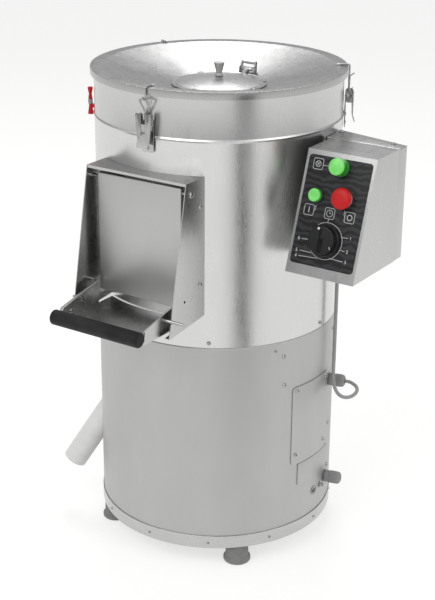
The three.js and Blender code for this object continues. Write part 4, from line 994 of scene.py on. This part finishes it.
def tray():
    low, high = lowest("discharge_tray"), highest("discharge_tray")
    half, floor = (high.x - low.x) / 2, low.z
    front, wall_back = -(DRUM_R + 122), -(DRUM_R + 22)
    grip_y, grip_z = middle("tray_handle").y - AXIS.y, middle("tray_handle").z
    top_back, top_front = SEAM + 98, SEAM + 78
    pan = block("pan", (-half, front, floor), (half, -150, floor + SHEET))
    walls = []
    for a, b in ((half - SHEET, half), (-half, SHEET - half)):
        wall = rounded([(wall_back, floor), (wall_back, top_back), (front + 1, top_front),
                        (front, floor)], 4, 4)
        walls.append(laid(plate("wall", wall, a, b), ACROSS))
    lip = block("lip", (-half, front, floor), (half, front + SHEET, grip_z + SHEET / 2))
    tongue = block("tongue", (-half, grip_y + 2, grip_z - SHEET / 2),
                   (half, front + SHEET, grip_z + SHEET / 2))
    shell = turned("drum", [(0, floor - 5), (DRUM_R + 2.5, floor - 5), (DRUM_R + 2.5, floor + 60),
                            (0, floor + 60)], FACETS)
    cut(pan, *walls, lip, tongue, operation="UNION")
    cut(pan, shell)
    eased(pan, 0.4, 2, 40)
    hems = []
    for s in (1, -1):
        inside = s * (half - 2.2)
        hems.append(bar("hem", [(inside, wall_back - 2, top_back - 2.4),
                                (inside, front + 6, top_front - 1.4),
                                (inside, front + 2.4, top_front - 5)], 2.1, sides=5))
    placed(joined(pan, *hems), "tray_pan", drum, SATIN, "tray", "satin_steel",
           "discharge_tray")
    grip_r = 12.5
    profile = rounded([(0, -half - 1.5), (grip_r, -half - 1.5), (grip_r, half + 1.5),
                       (0, half + 1.5)], 3, 5, closed=False)
    grip = laid(turned("grip", profile, 56), Matrix.Translation((0, grip_y * MM, grip_z * MM))
                @ Matrix.Rotation(pi / 2, 4, "Y"))
    cut(grip, block("slit", (-half - GAP, grip_y + 1.7, grip_z - 0.9),
                    (half + GAP, grip_y + 30, grip_z + 0.9)))
    placed(grip, "tray_grip", drum, BLACK_RUBBER, "tray", "black_rubber", "tray_handle")

    bolts = [laid(dome_screw(4, 2.2), Matrix.Translation(((SHEET - half) * MM, y * MM, z * MM)))
             for y, z in ((-304.5, 474 + 5), (-276, 492))]
    placed(joined(*bolts), "tray_bolts", drum, BRIGHT, "tray", "bright_steel")
    for side, sign, end in (("right", 1, HATCH_HALF + 22), ("left", -1, HATCH_HALF + 5)):
        inner = half - SHEET - GAP
        profile = rounded([(0, inner - 3.4), (4.4, inner - 3), (4.6, inner), (2.5, inner),
                           (2.5, end - 1), (1.6, end), (0, end)], 0.4, 2, closed=False)
        pivot = laid(turned("pivot", profile, 28), Matrix.Rotation(sign * pi / 2, 4, "Y"))
        centre = middle(f"tray_pivot_{side}")
        place = drum @ Matrix.Translation((0, (centre.y - AXIS.y) * MM, centre.z * MM))
        placed(pivot, f"tray_stub_{side}", place, BRIGHT, "tray", "bright_steel",
               f"tray_pivot_{side}")


# ---- control box -----------------------------------------------------------------------------

PANEL_LEAN = atan2(188, 64)
panel_middle = middle("front_label")
panel = (Matrix.Translation(panel_middle * MM) @ Matrix.Rotation(PANEL_LEAN, 4, "X")
         @ Matrix.Translation((0, 0, -0.7 * MM)))
LABEL_LONG = 173.5
LABEL_HALF_WAY = 8 + LABEL_LONG / 2


def on_panel(x, down):
    """a point of the sloping panel: across from its middle, and down from its top edge"""
    return (x, LABEL_HALF_WAY - down)


def control_box():
    low, high = lowest("control_housing"), highest("control_housing")
    x0, x1 = low.x - AXIS.x, high.x - AXIS.x
    front_low, back = low.y - AXIS.y, -0.15
    front_top = front_low + 64
    outline = rounded([(back, low.z), (back, high.z), (front_top, high.z),
                       (front_low, low.z)], 0.2, 1)
    case = laid(plate("case", outline, x0, x1), ACROSS)
    eased(case, 3.2, 5, 50)
    only(case)
    bpy.ops.object.mode_set(mode="EDIT")
    pick(case, "faces", lambda f: f.calc_center_median().y > (back - 3.4) * MM
         and f.normal.y > 0.05)
    bpy.ops.mesh.delete(type="FACE")
    bpy.ops.object.mode_set(mode="OBJECT")
    settled(case, "SOLIDIFY", thickness=PLATE * MM, offset=-1, use_even_offset=True)
    placed(case, "control_case", drum, SATIN, "root", "satin_steel", "control_housing")

    near, far = highest("control_back_cover").y - AXIS.y, 27
    plan = [(x1, 0.15), (x1, far), (DRUM_R + 3, near), (DRUM_R - 12, near), (DRUM_R - 12, 0.15)]
    cover = plate("cover", plan, low.z, high.z)
    eased(cover, 1.6, 4, 30)
    hollow = plate("hollow", [(x1 - PLATE, -5), (x1 - PLATE, far - PLATE),
                              (DRUM_R + 5, near - 2), (DRUM_R + 5, -5)],
                   low.z + PLATE, high.z - PLATE)
    shell = turned("drum", [(0, low.z - 5), (DRUM_R + 1, low.z - 5), (DRUM_R + 1, high.z + 5),
                            (0, high.z + 5)], FACETS)
    cut(cover, hollow, shell)
    placed(cover, "control_cover", drum, SATIN, "root", "satin_steel", "control_back_cover")
    heads = []
    for x, y in ((320.4, 21.1), (214, 42)):
        head = laid(turned("head", rounded([(0, 0), (4, 0), (4, 1.4), (2.8, 2.6), (0, 2.6)], 0.6,
                                           2, closed=False), 24),
                    Matrix.Translation((x * MM, y * MM, high.z * MM)))
        heads.append(head)
    placed(joined(*heads), "cover_top_screws", drum, BRIGHT, "root", "bright_steel")


def front_label():
    film = eased(plate("film", rectangle(112, LABEL_LONG, 6, 6), -0.4, 0.4), 0.2)
    top = 0.7
    placed(film, "panel_film", panel @ Matrix.Translation((0, 0, top * MM)), FILM, "root",
           "label_film", "front_label")
    ink = panel @ Matrix.Translation((0, 0, (top + 0.4) * MM))
    lines = []

    def stroke(points, radius=0.42, closed=False):
        lines.append(bar("line", [on_panel(*p) for p in points], radius, closed, 2))

    def arc(x, down, radius, start, end, count=24):
        return [(x + radius * cos(radians(start + (end - start) * i / count)),
                 down - radius * sin(radians(start + (end - start) * i / count)))
                for i in range(count + 1)]

    def frame_at(x, down, w=17, h=17):
        stroke([(x + a, down + b) for a, b in rectangle(w, h, 3, 3)], closed=True)

    frame_at(-38, 22)
    stroke([(-29.5, 23), (-12, 23)])
    stroke(arc(-38, 22, 4.6, 0, 345), closed=True)
    for turn in (45, 135):
        stroke([(-38 + s * 4.6 * cos(radians(turn)), 22 - s * 4.6 * sin(radians(turn)))
                for s in (-1, 1)])
    frame_at(-39, 95)
    stroke([(-28, 86), (-28, 93), (-30.5, 95.5)])
    stroke([(-39, 90.5), (-39, 99.5)], 0.7)
    frame_at(-2, 95)
    stroke(arc(-2, 95, 5.4, 0, 345), closed=True)
    stroke([(-2, 91.5), (-2, 95), (1.2, 95)])
    stroke([(-2, 103.5), (-2, 109.5)])
    frame_at(33.5, 95.6)
    stroke([(23, 86), (23, 93), (25, 95.5)])
    stroke(arc(33.5, 95.6, 4.2, 0, 345), 0.6, closed=True)
    stroke(arc(0, 138.5, 29, -128, 128, 60))
    stroke(arc(0, 138.5, 29, 196, 232, 10))
    for points in ([(26, 128), (38, 127)], [(26.6, 147.4), (36.4, 148.4)],
                   [(12.4, 163.8), (36.4, 164.5)], [(-42, 169.3), (-8.4, 167.5)],
                   [(-42, 160.6), (-20, 161)], [(-42, 142), (-30, 141.3)]):
        stroke(points)
    numbers = {"1": (42, 127), "2": (40.6, 148.6), "3": (40.7, 164.8), "4": (-47, 169.8),
               "5": (-47.3, 161), "6": (-47, 142)}
    for sign, at in numbers.items():
        nothing()
        bpy.ops.object.text_add(location=(*(Vector(on_panel(*at)) * MM), 0))
        text = bpy.context.object
        text.data.body = sign
        text.data.size = 7.5 * MM
        text.data.align_x, text.data.align_y = "CENTER", "CENTER"
        text.data.extrude = 0.2 * MM
        only(text)
        bpy.ops.object.convert(target="MESH")
        bpy.ops.object.transform_apply()
        lines.append(bpy.context.object)
    placed(joined(*lines), "panel_marks", ink, INK, "root", "label_film")


def panel_devices():
    top = 1.4
    lamp_at, start_at, stop_at, knob_at = ((3, 22), (-31, 71), (19, 69), (0, 138.5))

    def device(name, profile, at, look, body, slot, *nodes, radius=0.8, steps=48):
        piece = turned(name, rounded(profile, radius, 3, closed=False), steps)
        place = panel @ Matrix.Translation(Vector((*on_panel(*at), 0)) * MM)
        return placed(piece, name, place, look, body, slot, *nodes)

    # the lamp's sides take the darker green: painted shade beside the glowing lens top
    device("lamp_side", [(0, top), (14.2, top), (14.2, top + 3), (13.4, top + 3.2),
                         (13.4, top + 15.6), (0, top + 15.6)], lamp_at, GREEN_SHADED_SIDE, "root",
           "green_plastic")
    device("lamp_lens", [(0, top + 15.4), (13.5, top + 15.4), (13.5, top + 17.4),
                         (12.4, top + 19.6), (9, top + 20.4), (0, top + 21)], lamp_at, GREEN,
           "root", "green_plastic", "power_lamp")
    device("start_bezel", [(12.4, top - 0.6), (12.6, top + 3.2), (11.4, top + 4.4),
                           (10.7, top + 3), (10.7, top - 0.6)], start_at, DARK_RING, "root",
           "black_plastic")
    # the start cap shares the glowing lens material, so it shows a painted glow although the button is no lamp
    device("start_cap", [(0, top - 4), (9.8, top - 4), (9.8, top + 4), (10.3, top + 4.2),
                         (10.3, top + 8.4), (9.3, top + 9), (0, top + 8.8)], start_at, GREEN,
           "start_cap", "green_plastic", "start_button")
    device("stop_collar", [(13.6, top - 0.6), (14, top + 3.6), (12, top + 4.6), (9, top + 4.6),
                           (9, top - 0.6)], stop_at, GREY_NYLON, "root", "grey_plastic")
    device("stop_cap", [(0, top - 4), (8, top - 4), (8, top + 6.6), (15, top + 8),
                        (17, top + 11), (17, top + 14), (13.5, top + 16.8), (7, top + 17.8),
                        (0, top + 18)], stop_at, RED, "stop_cap", "red_plastic", "stop_button",
           radius=1.4)

    base = top + 1
    knob = turned("knob", rounded([
        (0, base), (25.4, base), (26.4, base + 1), (26.4, base + 3.6), (23.6, base + 5.4),
        (22.6, base + 15.4), (20.6, base + 16), (0, base + 16)], 0.9, 3, closed=False), 72)
    flutes = [bar("flute", [(23.4 * cos(pi * i / 18), 23.4 * sin(pi * i / 18), base + 5),
                            (22.6 * cos(pi * i / 18), 22.6 * sin(pi * i / 18), base + 14.6)],
                  0.7, sides=2) for i in range(36)]
    grip = eased(plate("grip", rectangle(9, 38, 4, 5), base + 15.6, base + 16.0), 0.2)
    place = panel @ Matrix.Translation(Vector((*on_panel(*knob_at), 0)) * MM)
    placed(joined(knob, grip, *flutes), "timer_dial_knob", place, BLACK_KNOB, "timer_dial",
           "black_plastic", "timer_knob")
    dot = turned("dot", [(0, base + 15.8), (2, base + 15.8), (2, base + 16.6), (0, base + 16.7)],
                 20)
    mark = bar("mark", [(17.2, -7, base + 16.1), (18.6, -11.4, base + 16.1)], 0.5)
    laid(dot, Matrix.Translation((-6.5 * MM, 18.2 * MM, 0)))
    placed(joined(dot, mark), "dial_marks", place, INK, "timer_dial", "label_film")


# ---- room ------------------------------------------------------------------------------------


def floor():
    """a wide pale floor"""
    nothing()
    bpy.ops.mesh.primitive_plane_add(size=60, location=(0, 0, -0.0004))
    ground = bpy.context.object
    ground.name = "floor"
    look = Look("pale_floor", Emission_Strength=0.6)
    cloud = look.noise(look.place, 0.4, 2)
    look.feed("Base Color", look.blend(look.levels(cloud, 0, 1), grey(0.46), grey(0.47)))
    look.feed("Emission Color", look.blend(look.levels(cloud, 0, 1), grey(0.96), grey(0.98)))
    look.feed("Roughness", look.levels(cloud, 0.85, 0.95))
    ground.data.materials.append(look.material)


def flag(name, azimuth, distance, width, low, high, level):
    """a dark card that only shows as a reflection in the steel"""
    nothing()
    place = (drum @ Matrix.Rotation(radians(azimuth), 4, "Z")
             @ Matrix.Translation((0, -distance, (low + high) / 2))
             @ Matrix.Rotation(pi / 2, 4, "X"))
    bpy.ops.mesh.primitive_plane_add(size=1)
    card = bpy.context.object
    card.name = name
    card.matrix_world = place @ Matrix.Diagonal((width, high - low, 1, 1))
    bpy.ops.object.transform_apply()
    look = Look(name + "_cloth", Roughness=1.0)
    look.feed("Base Color", grey(level))
    look.feed("Specular IOR Level", 0.0)
    card.data.materials.append(look.material)
    card.visible_camera = card.visible_diffuse = card.visible_shadow = False


def light(name, azimuth, elevation, distance, size, watts):
    """a large soft panel that looks at the middle of the machine"""
    lamp = bpy.data.lights.new(name, "AREA")
    lamp.shape = "RECTANGLE"
    lamp.size, lamp.size_y = size
    lamp.energy = watts
    holder = bpy.data.objects.new(name, lamp)
    bpy.context.scene.collection.objects.link(holder)
    a, e = radians(azimuth), radians(elevation)
    away = Vector((sin(a) * cos(e), -cos(a) * cos(e), sin(e)))
    holder.location = Vector((AXIS.x * MM, AXIS.y * MM, 0.5)) + away * distance
    holder.rotation_euler = away.to_track_quat("Z", "Y").to_euler()


def sky():
    """soft studio surround: pale above and grey low down"""
    world = bpy.data.worlds.new("studio")
    bpy.context.scene.world = world
    world.use_nodes = True
    tree = world.node_tree
    tree.nodes.clear()
    way = tree.nodes.new("ShaderNodeTexCoord")
    split = tree.nodes.new("ShaderNodeSeparateXYZ")
    ramp = tree.nodes.new("ShaderNodeValToRGB")
    back = tree.nodes.new("ShaderNodeBackground")
    end = tree.nodes.new("ShaderNodeOutputWorld")
    for at, level in ((0.0, 0.42), (0.3, 0.45), (0.62, 0.9), (1.0, 0.5)):
        stop = ramp.color_ramp.elements.new(at) if at not in (0.0, 1.0) else \
            ramp.color_ramp.elements[0 if at == 0.0 else -1]
        stop.color = (level, level, level * 1.01, 1)
    tree.links.new(way.outputs["Generated"], split.inputs[0])
    tree.links.new(split.outputs["Z"], ramp.inputs["Fac"])
    tree.links.new(ramp.outputs["Color"], back.inputs["Color"])
    back.inputs["Strength"].default_value = 0.95
    tree.links.new(back.outputs[0], end.inputs["Surface"])


def studio():
    bpy.context.scene.view_settings.view_transform = "Standard"
    sky()
    floor()
    flag("dark_flag", SIGHT_LINE + 21, 0.95, 0.24, 0.0, 0.75, 0.02)
    light("key_panel", SIGHT_LINE - 40, 42, 3.2, (2.4, 2.0), 34)
    light("fill_panel", SIGHT_LINE + 55, 35, 3.4, (2.0, 2.4), 20)
    light("back_panel", SIGHT_LINE + 180, 54, 3.0, (1.1, 0.9), 22)


# ---- whole machine ---------------------------------------------------------------------------

base_and_feet()
lower_shell()
upper_shell()
shell_screws()
earth_point()
drain_pipe()
glands()
hopper()
feed_lid()
lid_hinge()
for side, azimuth in LATCHES.items():
    latch(side, azimuth)
safety_key()
hatch_housing()
hatch_door()
tray()
control_box()
front_label()
panel_devices()
studio()
